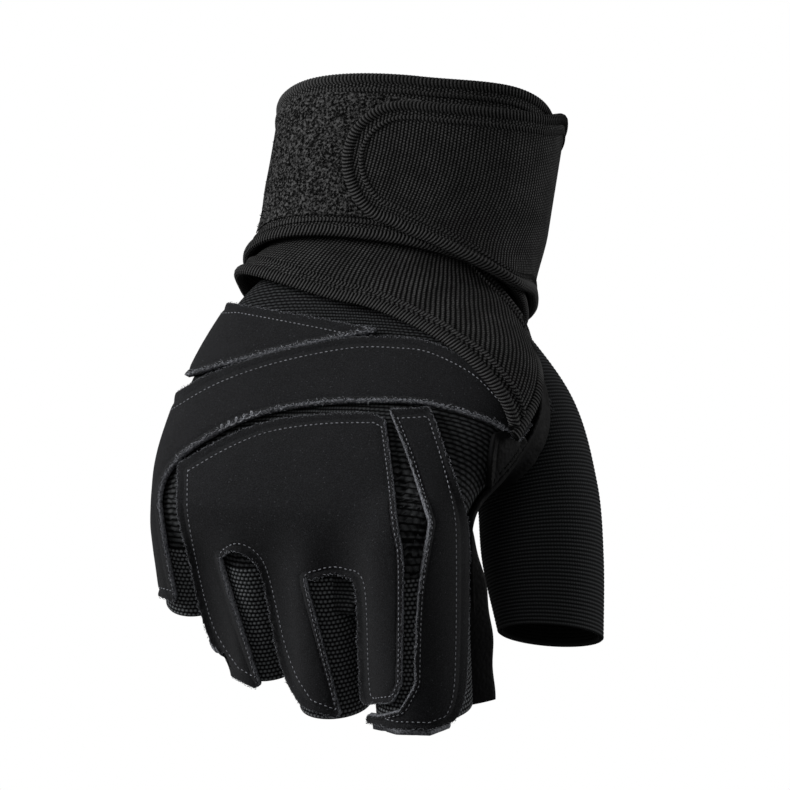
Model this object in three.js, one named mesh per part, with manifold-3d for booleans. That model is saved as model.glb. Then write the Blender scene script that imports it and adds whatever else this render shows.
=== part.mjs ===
// Half-finger weightlifting glove for the right hand, with a long elastic wrist wrap, in its worn form.
// Millimetres, +Z up. The back of the hand faces -Y and the thumb side faces +X.
// The origin is the centre of the upper opening, where the forearm goes in.

import * as THREE from 'three';
import { LoftGeometry } from 'three/addons/geometries/LoftGeometry.js';
import { mergeVertices } from 'three/addons/utils/BufferGeometryUtils.js';
import Module from 'manifold-3d';

const wasm = await Module();
wasm.setup();

const degrees = Math.PI / 180;

// Hand sizes, measured over the knit
const wristWidth = 56;
const wristDepth = 42;
const cuffLength = 52;        // upper opening to the wrist crease
const palmLength = 82;        // wrist crease to the knuckle centres
const handBreadth = 86;       // across the four knuckles
const handThickness = 36;
const handSquareness = 0.80;  // 1 makes the hand's sections ellipses, less makes them squarer
const thumbLength = 83;       // thumb root to the end of its sleeve
const thumbWidth = 32;
const thumbDepth = 29;
const fingerLengths = { index: 50, middle: 50, ring: 42, little: 26 };
const fingerWidths = { index: 24, middle: 18.4, ring: 17.4, little: 16.6 };
const fingerDepths = { index: 28, middle: 22, ring: 21, little: 19 };

// Material thicknesses and the gap between pieces that are sewn together
const knitWall = 1.3;
const panelThickness = 1.4;
const leatherThickness = 1.3;
const clearance = 0.3;

// Wrist wrap
const strapWidth = 50;
const strapThickness = 1.4;
const turnPitch = 3.4;        // from the middle of one turn to the middle of the next
const bindingWidth = 3;
const bindingThickness = 2.4;
const bindingGap = 0.8;       // from the binding to the edge of the strap inside it
const loopThickness = 0.55;
const hookThickness = 0.45;
const seamWidth = 3.4;
const seamThickness = 1.2;
const seamGap = 1.2;          // from the seam tape to the ends of the strap and its binding
const strapSeat = 3.2;        // from the knit to the middle of the strap where it starts, over the panels
const tabRound = 14;          // length of the tab's round end
const wallRun = 2;            // how far an inside runs past its opening
const wedgeReach = -6;        // how far the wedge stays in front of the middle of the hand
const sidePanelReach = 4;     // how far the side panel reaches back past the middle of the finger
const palmSetBack = 5;        // from the middle of the hand back to the palm's edge
const thumbStations = [0, 0.14, 0.28, 0.42, 0.57, 0.71, 0.85, 1];
const thumbSplit = 3;         // the station where the thumb sleeve starts

// Directions of the forearm and the back of the hand: lean to the left and tilt to the front, going down
const armLean = 9.5 * degrees;
const armTilt = 19 * degrees;
const palmLean = 19.8 * degrees;
const palmTilt = 39.9 * degrees;
const palmYaw = 22.6 * degrees; // the thumb side is turned to the front
const fingerLean = -4 * degrees;
const fingerTilt = -21 * degrees;

// Panel outlines are marked out from a point this far in front of the glove
const viewDistance = 1400;
const viewSide = -7.2;
const viewHeight = -78.2;

// Mesh fineness
const ringSteps = 22;
const fingerSteps = 10;
const thumbSteps = 12;
const strapStepDegrees = 18;  // a whole number to a turn, so that turns lie parallel
const strapColumns = 4;
const tapeSides = 6;
const seamStep = 8;           // along the seam tape
const roundAngles = [0, 20, 40, 60, 80];  // degrees round the end of the tab
const outlineDivisions = 2;
const farAway = 250;          // past every piece

function downward(lean, tilt) {
  return new THREE.Vector3(-Math.tan(lean), -Math.tan(tilt), -1).normalize();
}

const armDown = downward(armLean, armTilt);
const palmDown = downward(palmLean, palmTilt);
const fingerDown = downward(fingerLean, fingerTilt);
const creaseCentre = armDown.clone().multiplyScalar(cuffLength);
const knuckleCentre = creaseCentre.clone().addScaledVector(palmDown, palmLength);

// Sections of the hand. at: share of the palm length past the wrist crease, or of the cuff above it;
// turn: how far the section has turned, 0 square to the forearm, 1 to the palm and 2 to the fingers;
// shift: to the thumb side, as a share of the hand breadth; wrist: 1 takes the wrist size and 0 the hand
// size; width and depth: shares of it
const handSections = [
  { at: -1.10, turn: 0.00, shift: 0.000, wrist: 1, width: 1.00, depth: 1.00 },
  { at: -0.80, turn: 0.00, shift: 0.000, wrist: 1, width: 1.00, depth: 1.00 },
  { at: -0.40, turn: 0.00, shift: 0.000, wrist: 1, width: 1.00, depth: 0.98 },
  { at: 0.00, turn: 0.25, shift: -0.005, wrist: 1, width: 1.02, depth: 0.98 },
  { at: 0.22, turn: 0.65, shift: 0.010, wrist: 0, width: 0.91, depth: 1.06 },
  { at: 0.50, turn: 1.00, shift: 0.040, wrist: 0, width: 1.11, depth: 1.00 },
  { at: 0.75, turn: 1.00, shift: 0.020, wrist: 0, width: 1.08, depth: 0.90 },
  { at: 0.88, turn: 1.10, shift: 0.000, wrist: 0, width: 1.01, depth: 0.82 },
  { at: 0.96, turn: 1.38, shift: 0.005, wrist: 0, width: 0.98, depth: 0.76 },
  { at: 1.04, turn: 1.70, shift: 0.005, wrist: 0, width: 0.96, depth: 0.70 },
  { at: 1.12, turn: 2.00, shift: 0.005, wrist: 0, width: 0.93, depth: 0.66 },
  { at: 1.20, turn: 2.00, shift: 0.005, wrist: 0, width: 0.86, depth: 0.60 },
];

// Sections of a finger sleeve. at: share of its length past the knuckle centre; width and depth: shares
const domeStations = [-0.27, -0.21, -0.12, 0.02];
const fingerSections = [
  { at: -0.27, width: 0.40, depth: 0.40 },
  { at: -0.22, width: 0.66, depth: 0.66 },
  { at: -0.12, width: 0.90, depth: 0.90 },
  { at: 0.00, width: 1.00, depth: 1.02 },
  { at: 0.25, width: 1.02, depth: 1.04 },
  { at: 0.60, width: 1.00, depth: 1.00 },
  { at: 1.00, width: 0.98, depth: 0.96 },
];

// Fingers. across: place of the knuckle on the hand breadth; ahead: past the common knuckle line, as a
// share of the palm length; web: share of its length where the sleeve starts; lean: to the left, and
// tilt: to the front, going down, and yaw: turn of its back, in degrees
const fingers = [
  { name: 'index', web: 0.30, across: 0.345, ahead: 0.00, lean: -3.5, tilt: -16, yaw: 34 },
  { name: 'middle', web: 0.30, across: 0.070, ahead: 0.01, lean: -3.0, tilt: -20, yaw: 24 },
  { name: 'ring', web: 0.34, across: -0.163, ahead: 0.00, lean: -6.0, tilt: -25, yaw: 24 },
  { name: 'little', web: 0.46, across: -0.382, ahead: -0.02, lean: -5.0, tilt: -28, yaw: 22 },
];

// Sections of the thumb sleeve. at: share of the thumb length from its root; out: to the outer side of the
// line from the root to the end, as a share of its width; lean: of the section, in degrees; width and
// depth: shares
const thumbSections = [
  { at: 0.00, out: 0.00, lean: -24, width: 0.62, depth: 0.70 },
  { at: 0.29, out: 0.17, lean: -16, width: 0.90, depth: 0.95 },
  { at: 0.55, out: 0.16, lean: -8, width: 1.00, depth: 1.00 },
  { at: 0.76, out: 0.08, lean: -1, width: 1.00, depth: 1.00 },
  { at: 1.00, out: 0.00, lean: 5, width: 0.86, depth: 0.92 },
];
const thumbLean = -13 * degrees;
const thumbTilt = 15 * degrees;
const thumbYaw = 30 * degrees;
const thumbRootAcross = 0.47;  // share of the wrist width to the thumb side of the crease centre
const thumbRootDown = 0.15;    // share of the palm length past the crease

// Smooth value of one column of a table at a place along it
function column(rows, name, at) {
  const last = rows.length - 1;
  let i = 0;
  while (i < last - 1 && rows[i + 1].at < at) i += 1;
  const before = rows[Math.max(i - 1, 0)];
  const from = rows[i];
  const to = rows[i + 1];
  const after = rows[Math.min(i + 2, last)];
  const span = to.at - from.at;
  const t = THREE.MathUtils.clamp((at - from.at) / span, 0, 1);
  const straight = (to[name] - from[name]) / span;
  const slopeFrom = i > 0 ? (to[name] - before[name]) / (to.at - before.at) : straight;
  const slopeTo = i + 2 <= last ? (after[name] - from[name]) / (after.at - from.at) : straight;
  const t2 = t * t;
  const t3 = t2 * t;
  return from[name] * (2 * t3 - 3 * t2 + 1) + slopeFrom * span * (t3 - 2 * t2 + t)
    + to[name] * (3 * t2 - 2 * t3) + slopeTo * span * (t3 - t2);
}

// Axes of a section: width to the thumb side, back to the back of the hand
function sectionAxes(down, yaw) {
  const width = new THREE.Vector3(Math.cos(yaw), -Math.sin(yaw), 0);
  width.addScaledVector(down, -width.dot(down)).normalize();
  const back = new THREE.Vector3().crossVectors(down, width);
  return { width, back };
}

// One section of the hand at a distance below the upper opening
function handSection(distance) {
  const past = distance - cuffLength;
  const at = past < 0 ? past / cuffLength : past / palmLength;
  const turn = column(handSections, 'turn', at);
  const wrist = column(handSections, 'wrist', at);
  const down = turn < 1
    ? armDown.clone().lerp(palmDown, turn).normalize()
    : palmDown.clone().lerp(fingerDown, turn - 1).normalize();
  const axes = sectionAxes(down, palmYaw * Math.min(turn, 1));
  const centre = past < 0
    ? armDown.clone().multiplyScalar(distance)
    : creaseCentre.clone().addScaledVector(palmDown, Math.min(past, palmLength));
  centre.addScaledVector(fingerDown, Math.max(past - palmLength, 0));
  centre.addScaledVector(axes.width, column(handSections, 'shift', at) * handBreadth);
  const fullWidth = wrist * wristWidth + (1 - wrist) * handBreadth;
  const fullDepth = wrist * wristDepth + (1 - wrist) * handThickness;
  return {
    centre, down, ...axes,
    halfWidth: column(handSections, 'width', at) * fullWidth / 2,
    halfDepth: column(handSections, 'depth', at) * fullDepth / 2,
  };
}

// A point of a section grown by an offset; angle 0 is the thumb side and 90 degrees the back of the hand
function sectionPoint(section, angle, offset, squareness = 1) {
  const c = Math.cos(angle);
  const s = Math.sin(angle);
  const x = Math.sign(c) * Math.abs(c) ** squareness;
  const y = Math.sign(s) * Math.abs(s) ** squareness;
  return section.centre.clone()
    .addScaledVector(section.width, x * (section.halfWidth + offset))
    .addScaledVector(section.back, y * (section.halfDepth + offset));
}

function sectionRing(section, offset, steps, squareness) {
  const turn = 2 * Math.PI / steps;
  return Array.from({ length: steps }, (_, i) => sectionPoint(section, i * turn, offset, squareness));
}

// Solids for joining and cutting
function toSolid(geometry) {
  const bare = new THREE.BufferGeometry();
  bare.setAttribute('position', geometry.attributes.position);
  bare.setIndex(geometry.index);
  const merged = mergeVertices(bare, 1e-4);
  return new wasm.Manifold(new wasm.Mesh({
    numProp: 3,
    vertProperties: new Float32Array(merged.attributes.position.array),
    triVerts: new Uint32Array(merged.index.array),
  }));
}

function loft(rings) {
  return toSolid(new LoftGeometry(rings, { capStart: true, capEnd: true }));
}

function movedSection(section, run) {
  return { ...section, centre: section.centre.clone().addScaledVector(section.down, run) };
}

// A tube through sections, grown by an offset; a run past its first or last section adds one there
function tube(sections, offset, steps, runTop, runEnd, squareness) {
  const whole = [...sections];
  if (runTop > 0) whole.unshift(movedSection(sections[0], -runTop));
  if (runEnd > 0) whole.push(movedSection(sections[sections.length - 1], runEnd));
  return loft(whole.map((section) => sectionRing(section, offset, steps, squareness)));
}

// Places of the hand's sections, as in their table, and the one where the palm starts
const handStations = [-0.86, -0.40, -0.05, 0.12, 0.26, 0.41, 0.56, 0.70, 0.82, 0.91, 0.98, 1.05, 1.13];
const palmStation = 3;

function handBody(offset, runTop, runEnd, first = 0) {
  const sections = handStations.slice(first)
    .map((at) => handSection(cuffLength + at * (at < 0 ? cuffLength : palmLength)));
  return tube(sections, offset, ringSteps, runTop, runEnd, handSquareness);
}

function fingerSection(finger, at) {
  const down = downward(finger.lean * degrees, finger.tilt * degrees);
  const axes = sectionAxes(down, finger.yaw * degrees);
  const knuckle = knuckleCentre.clone()
    .addScaledVector(sectionAxes(palmDown, palmYaw).width, finger.across * handBreadth)
    .addScaledVector(palmDown, finger.ahead * palmLength);
  const centre = knuckle.addScaledVector(down, at * fingerLengths[finger.name]);
  return {
    centre, down, ...axes,
    halfWidth: column(fingerSections, 'width', at) * fingerWidths[finger.name] / 2,
    halfDepth: column(fingerSections, 'depth', at) * fingerDepths[finger.name] / 2,
  };
}

// A finger, whole or from the start of its sleeve
function fingerBody(finger, offset, runTop = 0, runEnd = 0, whole = true) {
  const stations = [finger.web, (finger.web + 1) / 2, 1];
  if (whole) stations.unshift(...domeStations);
  const sections = stations.map((at) => fingerSection(finger, at));
  return tube(sections, offset, fingerSteps, runTop, runEnd, 1);
}

const thumbDown = downward(thumbLean, thumbTilt);
const thumbRoot = creaseCentre.clone()
  .addScaledVector(sectionAxes(armDown, 0).width, thumbRootAcross * wristWidth)
  .addScaledVector(palmDown, thumbRootDown * palmLength);

function thumbSection(at) {
  const down = downward(column(thumbSections, 'lean', at) * degrees, thumbTilt);
  const axes = sectionAxes(down, thumbYaw);
  const centre = thumbRoot.clone()
    .addScaledVector(thumbDown, at * thumbLength)
    .addScaledVector(sectionAxes(thumbDown, 0).width, column(thumbSections, 'out', at) * thumbWidth);
  return {
    centre, down, ...axes,
    halfWidth: column(thumbSections, 'width', at) * thumbWidth / 2,
    halfDepth: column(thumbSections, 'depth', at) * thumbDepth / 2,
  };
}

// The thumb, whole or from the start of its sleeve
function thumbBody(offset, runTop = 0, runEnd = 0, whole = true) {
  const stations = whole ? thumbStations : thumbStations.slice(thumbSplit);
  return tube(stations.map(thumbSection), offset, thumbSteps, runTop, runEnd, 1);
}

// Everything in front of (or behind) a sheet that runs through the middle of the hand and the fingers,
// set back by a distance
function halfSpace(inFront, setBack) {
  const across = sectionAxes(palmDown, palmYaw).width.setZ(0).normalize();
  const front = new THREE.Vector3(across.y, -across.x, 0);
  const up = new THREE.Vector3(0, 0, 1);
  const tip = fingerSection(fingers[1], 1).centre;
  const edge = inFront ? farAway : -farAway;
  const shape = new THREE.Shape([
    new THREE.Vector2(edge, farAway),
    new THREE.Vector2(-setBack, farAway),
    new THREE.Vector2(-setBack, 0),
    new THREE.Vector2(creaseCentre.dot(front) - setBack, creaseCentre.z),
    new THREE.Vector2(knuckleCentre.dot(front) - setBack, knuckleCentre.z),
    new THREE.Vector2(tip.dot(front) - setBack, tip.z),
    new THREE.Vector2(tip.dot(front) - setBack, -farAway),
    new THREE.Vector2(edge, -farAway),
  ]);
  const geometry = new THREE.ExtrudeGeometry(shape, { depth: 2 * farAway, bevelEnabled: false });
  geometry.translate(0, 0, -farAway);
  geometry.applyMatrix4(new THREE.Matrix4().makeBasis(front, up, front.clone().cross(up)));
  return toSolid(geometry);
}

// Where a point is seen from the viewing point, on the plane through the origin
const viewPoint = new THREE.Vector3(viewSide, -viewDistance, viewHeight);

function seen(point) {
  const scale = viewDistance / (viewDistance + point.y);
  return new THREE.Vector2(
    viewPoint.x + (point.x - viewPoint.x) * scale,
    viewPoint.z + (point.z - viewPoint.z) * scale,
  );
}

const creaseSeen = seen(creaseCentre);
const knuckleSeen = seen(knuckleCentre);
const tipSeen = seen(fingerSection(fingers[1], 1).centre);

// across: shares of the hand breadth from the knuckle centre; down: 0 at the wrist crease, 1 at the
// knuckles and 2 at the end of the middle finger's sleeve
function outlinePoint([across, down]) {
  const height = down < 1
    ? THREE.MathUtils.lerp(creaseSeen.y, knuckleSeen.y, down)
    : THREE.MathUtils.lerp(knuckleSeen.y, tipSeen.y, down - 1);
  return new THREE.Vector2(knuckleSeen.x + across * handBreadth, height);
}

// The solid that an outline sweeps as it is seen; a run of more than two points is one smooth curve
function outlineRegion(runs) {
  const path = new THREE.Shape();
  runs.forEach((run, i) => {
    const points = run.map(outlinePoint);
    if (i === 0) path.moveTo(points[0].x, points[0].y);
    else path.lineTo(points[0].x, points[0].y);
    if (points.length > 2) path.splineThru(points.slice(1));
    else points.slice(1).forEach((point) => path.lineTo(point.x, point.y));
  });
  const points = path.getPoints(outlineDivisions);
  if (points[0].distanceTo(points[points.length - 1]) < clearance) points.pop();
  if (THREE.ShapeUtils.isClockWise(points)) points.reverse();
  const rings = [farAway / 2, -farAway].map((y) => points.map((point) => {
    const scale = (viewDistance + y) / viewDistance;
    return new THREE.Vector3(
      viewPoint.x + (point.x - viewPoint.x) * scale,
      y,
      viewPoint.z + (point.y - viewPoint.z) * scale,
    );
  }));
  return loft(rings);
}

// The form of the hand and fingers, grown by an offset; its ends run on past the knit's
function handForm(offset, runTop, runEnd, first = 0) {
  return fingers.reduce(
    (solid, finger) => solid.add(fingerBody(finger, offset, 0, runEnd)),
    handBody(offset, runTop, offset, first),
  );
}

// The layer of a sheet that lies on the form
function layer(thickness) {
  const under = handForm(clearance, wallRun, wallRun).add(thumbBody(clearance));
  const over = handForm(clearance + thickness, 0, 0).add(thumbBody(clearance + thickness));
  return over.subtract(under);
}

// Outlines of the panels on the back, as runs of [across, down]
const wedgeOutline = [
  [[-0.240, 0.118], [-0.206, 0.106]],
  [[-0.206, 0.106], [0.003, 0.160], [0.228, 0.223]],
  [[0.228, 0.223], [-0.058, 0.303], [-0.360, 0.413]],
  [[-0.360, 0.413], [-0.305, 0.265], [-0.240, 0.118]],
];
const bandOutline = [
  [[-0.440, 0.539], [-0.283, 0.413], [-0.092, 0.320], [0.139, 0.257], [0.293, 0.257], [0.392, 0.278],
    [0.521, 0.379], [0.583, 0.480]],
  [[0.560, 0.600], [0.392, 0.535], [0.253, 0.522], [0.062, 0.530], [-0.108, 0.568], [-0.243, 0.640],
    [-0.376, 0.758], [-0.450, 0.888], [-0.443, 1.091], [-0.403, 1.401]],
  [[-0.400, 1.435], [-0.462, 1.400]],
  [[-0.600, 1.335], [-0.600, 0.600]],
];
const knuckleOutline = [
  [[-0.376, 0.787], [-0.243, 0.682], [-0.108, 0.610], [0.062, 0.577], [0.216, 0.573]],
  [[0.253, 0.598], [0.284, 1.002]],
  [[0.308, 1.030], [0.305, 1.895]],
  [[0.281, 1.990], [0.207, 2.005]],
  [[0.188, 1.980], [0.179, 1.834], [0.167, 1.374], [0.124, 1.307], [0.077, 1.296], [0.031, 1.324],
    [0.019, 1.374], [0.117, 2.050]],
  [[0.100, 2.070], [0.010, 2.010]],
  [[-0.037, 1.884], [-0.077, 1.695], [-0.129, 1.313], [-0.166, 1.202], [-0.212, 1.168], [-0.237, 1.202],
    [-0.240, 1.252], [-0.129, 1.890]],
  [[-0.145, 1.905], [-0.218, 1.830]],
  [[-0.218, 1.830], [-0.305, 1.562], [-0.372, 1.052], [-0.379, 0.863], [-0.376, 0.787]],
];
const sideOutline = [
  [[0.262, 0.556], [0.308, 0.716], [0.336, 0.833], [0.376, 1.030]],
  [[0.376, 1.030], [0.345, 1.401], [0.336, 1.895]],
  [[0.296, 2.028], [0.241, 2.055]],
  [[0.207, 2.044], [0.207, 2.100]],
  [[0.281, 2.130], [0.386, 2.135]],
  [[0.447, 2.094], [0.478, 1.895], [0.484, 1.191], [0.475, 0.955], [0.438, 0.745], [0.392, 0.547]],
];
const webOutline = [
  [[0.573, 0.648], [0.641, 0.623], [0.672, 0.707], [0.654, 0.833], [0.598, 0.901], [0.555, 0.875],
    [0.561, 0.728], [0.573, 0.648]],
];

const glove = new THREE.Group();
glove.name = 'weightlifting_glove';

function addPiece(name, solid, material) {
  const mesh = solid.getMesh();
  const geometry = new THREE.BufferGeometry();
  geometry.setAttribute('position', new THREE.BufferAttribute(mesh.vertProperties, 3));
  geometry.setIndex(new THREE.BufferAttribute(mesh.triVerts, 1));
  geometry.computeVertexNormals();
  const piece = new THREE.Mesh(geometry, material);
  piece.name = name;
  glove.add(piece);
}

// Finishes: knit, suede-like panels, elastic strap, and the ribbed binding with the patches
const knit = new THREE.MeshStandardMaterial({ color: 0x17181a, roughness: 0.95, metalness: 0 });
const suede = new THREE.MeshStandardMaterial({ color: 0x141416, roughness: 0.85, metalness: 0 });
const elastic = new THREE.MeshStandardMaterial({ color: 0x121214, roughness: 0.9, metalness: 0 });
const binding = new THREE.MeshStandardMaterial({ color: 0x1a1b1d, roughness: 0.9, metalness: 0 });

// The sleeves are tubes of their own, which start a gap past the end of the hand's knit
function sleeve(body) {
  return body(0, -clearance, 0).subtract(body(-knitWall, wallRun, wallRun));
}

function makeHandKnit() {
  const outside = handForm(0, 0, 0).add(thumbBody(0));
  const inside = handForm(-knitWall, wallRun, wallRun).add(thumbBody(-knitWall, 0, wallRun));
  const shell = fingers.reduce(
    (solid, finger) => solid.subtract(fingerBody(finger, clearance, 0, wallRun, false)),
    outside.subtract(inside),
  );
  return shell.subtract(thumbBody(clearance, 0, wallRun, false));
}

addPiece('hand_knit', makeHandKnit(), knit);
fingers.forEach((finger) => {
  const body = (offset, top, end) => fingerBody(finger, offset, top, end, false);
  addPiece(`${finger.name}_sleeve`, sleeve(body), knit);
});
addPiece('thumb_sleeve', sleeve((offset, top, end) => thumbBody(offset, top, end, false)), knit);

const panelLayer = layer(panelThickness);
const frontPanels = [
  ['wedge_panel', wedgeOutline, wedgeReach],
  ['band_panel', bandOutline, 0],
  ['knuckle_panel', knuckleOutline, 0],
  ['index_side_panel', sideOutline, sidePanelReach],
  ['thumb_web_patch', webOutline, sidePanelReach],
];
frontPanels.forEach(([name, outline, reach]) => {
  addPiece(name, panelLayer.intersect(halfSpace(true, reach)).intersect(outlineRegion(outline)), suede);
});

function makePalm() {
  const under = handForm(clearance, wallRun, wallRun, palmStation);
  const over = handForm(clearance + leatherThickness, 0, -clearance, palmStation);
  return over.subtract(under)
    .intersect(halfSpace(false, palmSetBack))
    .subtract(thumbBody(clearance));
}

addPiece('palm_panel', makePalm(), suede);

// The strap runs round the wrist from its seam on the thumb side, over the back of the hand first.
// at: degrees round the wrist; lower and upper: its edges, as shares of the strap width below the upper
// opening
const strapEdges = [
  { at: 14, lower: 2.20, upper: 1.30 },
  { at: 40, lower: 2.02, upper: 1.02 },
  { at: 65, lower: 1.80, upper: 0.78 },
  { at: 90, lower: 1.58, upper: 0.60 },
  { at: 135, lower: 1.34, upper: 0.38 },
  { at: 180, lower: 1.22, upper: 0.28 },
  { at: 270, lower: 1.16, upper: 0.18 },
  { at: 360, lower: 1.12, upper: 0.04 },
  { at: 405, lower: 1.12, upper: 0.03 },
  { at: 450, lower: 1.10, upper: 0.10 },
  { at: 495, lower: 1.10, upper: 0.14 },
  { at: 540, lower: 1.10, upper: 0.16 },
  { at: 630, lower: 1.04, upper: 0.08 },
  { at: 720, lower: 1.04, upper: 0.00 },
  { at: 755, lower: 1.20, upper: 0.14 },
  { at: 800, lower: 1.07, upper: 0.25 },
  { at: 830, lower: 0.86, upper: 0.28 },
];
const strapStart = strapEdges[0].at;
const strapEnd = strapEdges[strapEdges.length - 1].at;

// Distance of the strap's middle from the knit
function strapOffset(turn) {
  return strapSeat + turnPitch * (turn - strapStart) / 360;
}

// How far a place on the strap moves for one degree round the wrist, and for one millimetre down it
function turnStep(turn, distance, offset = strapOffset(turn)) {
  return strapPoint(turn + 0.5, distance, offset).sub(strapPoint(turn - 0.5, distance, offset));
}

function downStep(turn, distance, offset = strapOffset(turn)) {
  return strapPoint(turn, distance + 0.5, offset).sub(strapPoint(turn, distance - 0.5, offset));
}

const tabLength = turnStep(strapEnd, strapWidth / 2).length();

// One long edge of the strap, moved square to itself
function edgeLine(name, turn, move) {
  const distance = column(strapEdges, name, turn) * strapWidth;
  const rise = (column(strapEdges, name, turn + 1) - column(strapEdges, name, turn - 1)) * strapWidth / 2;
  const spacing = downStep(turn, distance).length();
  const slope = rise * spacing / turnStep(turn, distance).length();
  return distance + move / spacing * Math.hypot(1, slope);
}

// Edges of the strap, drawn in by an inset, with a round end
function strapEdge(turn, inset) {
  const lower = edgeLine('lower', turn, -inset);
  const upper = edgeLine('upper', turn, inset);
  const reach = tabRound - inset;
  const into = 1 - ((strapEnd - turn) * tabLength - inset) / reach;
  const rounding = into > 0 ? Math.sqrt(Math.max(1 - into ** 2, 0)) : 1;
  const middle = (lower + upper) / 2;
  const half = (lower - upper) / 2 * rounding;
  return { lower: middle + half, upper: middle - half };
}

function strapPoint(turn, distance, offset) {
  return sectionPoint(handSection(distance), turn * degrees, offset, handSquareness);
}

// A sheet that follows the strap between two turns; edge gives its edges, inside and outside its offsets
function strapSheet(turns, edge, inside, outside, columns) {
  return loft(turns.map((turn) => {
    const { lower, upper } = edge(turn);
    const ring = [];
    for (let i = 0; i <= columns; i += 1) {
      ring.push(strapPoint(turn, THREE.MathUtils.lerp(lower, upper, i / columns), outside(turn)));
    }
    for (let i = columns; i >= 0; i -= 1) {
      ring.push(strapPoint(turn, THREE.MathUtils.lerp(lower, upper, i / columns), inside(turn)));
    }
    return ring;
  }));
}

function spread(from, to, step) {
  const count = Math.ceil((to - from) / step);
  return Array.from({ length: count + 1 }, (_, i) => from + (to - from) * i / count);
}

// The start of the strap and the whole steps round the wrist after it, up to a turn
function wholeSteps(end) {
  const first = Math.ceil(strapStart / strapStepDegrees + 0.5);
  const last = Math.floor(end / strapStepDegrees);
  return [strapStart, ...Array.from({ length: last - first + 1 }, (_, i) => (first + i) * strapStepDegrees)];
}

// Turns at which the round end needs a section, from where it starts to its tip
function roundTurns(inset) {
  const reach = (tabRound - inset) / tabLength;
  const start = strapEnd - inset / tabLength - reach;
  return roundAngles.map((angle) => start + reach * Math.sin(angle * degrees));
}

const strapInset = bindingWidth + bindingGap;
const strapTurns = wholeSteps(roundTurns(strapInset)[0] - strapStepDegrees / 2);
addPiece(
  'wrist_wrap',
  strapSheet(
    [...strapTurns, ...roundTurns(strapInset)],
    (turn) => strapEdge(turn, strapInset),
    (turn) => strapOffset(turn) - strapThickness / 2,
    (turn) => strapOffset(turn) + strapThickness / 2,
    strapColumns,
  ),
  elastic,
);

// A cord of binding or tape laid along places on the strap, each a turn and a distance
function strapTape(places, width, thickness, offset) {
  const points = places.map(([turn, distance]) => strapPoint(turn, distance, offset(turn)));
  const rings = points.map((point, i) => {
    const [turn, distance] = places[i];
    const along = points[Math.min(i + 1, points.length - 1)].clone()
      .sub(points[Math.max(i - 1, 0)]).normalize();
    const out = turnStep(turn, distance, offset(turn)).cross(downStep(turn, distance, offset(turn)));
    out.addScaledVector(along, -out.dot(along)).normalize();
    const side = out.clone().cross(along);
    return Array.from({ length: tapeSides }, (_, k) => {
      const angle = (k + 0.5) / tapeSides * 2 * Math.PI;
      return point.clone()
        .addScaledVector(side, Math.cos(angle) / Math.cos(Math.PI / tapeSides) * width / 2)
        .addScaledVector(out, Math.sin(angle) * thickness / 2);
    });
  });
  return loft(rings);
}

const bindingInset = bindingWidth / 2;
const bindingTurns = [...strapTurns, ...roundTurns(bindingInset)];
const tipTurn = strapEnd - bindingInset / tabLength;
const tipEdge = strapEdge(tipTurn, bindingInset);
addPiece(
  'wrap_binding',
  strapTape(
    [
      ...bindingTurns.map((turn) => [turn, strapEdge(turn, bindingInset).lower]),
      [tipTurn, (tipEdge.lower + tipEdge.upper) / 2],
      ...bindingTurns.toReversed().map((turn) => [turn, strapEdge(turn, bindingInset).upper]),
    ],
    bindingWidth,
    bindingThickness,
    strapOffset,
  ),
  binding,
);

const seamEdge = strapEdge(strapStart, 0);

function seamTurn(distance) {
  return strapStart - (seamGap + seamWidth / 2) / turnStep(strapStart, distance, strapSeat).length();
}

addPiece(
  'wrap_seam',
  strapTape(
    spread(seamEdge.upper, seamEdge.lower, seamStep).map((distance) => [seamTurn(distance), distance]),
    seamWidth,
    seamThickness,
    () => strapSeat,
  ),
  binding,
);

// The fuzzy patch on the outside of the second turn, and the hook patch behind the tab; from and to in
// degrees round the wrist, upper and lower as shares of the strap width below the upper opening
const loopPatch = { from: 430, to: 525, upper: 0.24, lower: 0.96 };
const hookPatch = { from: 765, to: 822, upper: 0.46, lower: 0.72 };
const patchGap = strapThickness / 2 + clearance;

function strapPatch(patch, inside, thickness) {
  return strapSheet(
    strapTurns.filter((turn) => turn > patch.from && turn < patch.to),
    () => ({ lower: patch.lower * strapWidth, upper: patch.upper * strapWidth }),
    (turn) => strapOffset(turn) + inside,
    (turn) => strapOffset(turn) + inside + thickness,
    strapColumns,
  );
}

addPiece('loop_patch', strapPatch(loopPatch, patchGap, loopThickness), binding);
addPiece('hook_patch', strapPatch(hookPatch, -patchGap - hookThickness, hookThickness), binding);

export default glove;
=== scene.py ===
# Half-finger weightlifting glove for the right hand, with its long elastic wrist wrap, in its worn form.
# Metres, +Z up. The back of the hand faces -Y, the thumb side faces +X, and the origin is the centre of
# the upper opening, where the forearm goes in.

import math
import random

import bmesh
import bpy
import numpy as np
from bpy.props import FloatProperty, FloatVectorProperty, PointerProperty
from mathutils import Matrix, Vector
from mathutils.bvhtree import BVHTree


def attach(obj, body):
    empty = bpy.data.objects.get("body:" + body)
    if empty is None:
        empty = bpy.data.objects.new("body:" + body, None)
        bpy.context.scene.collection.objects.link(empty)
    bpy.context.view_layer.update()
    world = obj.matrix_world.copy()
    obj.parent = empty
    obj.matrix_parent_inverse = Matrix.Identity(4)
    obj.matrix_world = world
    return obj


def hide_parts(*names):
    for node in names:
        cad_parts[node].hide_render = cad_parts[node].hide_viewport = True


bl_info = {
    "name": "Weightlifting Glove",
    "version": (1, 0, 0),
    "blender": (4, 5, 0),
    "location": "View3D > Sidebar > Glove",
    "description": "Knit lifting glove with suede panels and a long elastic wrist wrap",
    "category": "Object",
}

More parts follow.
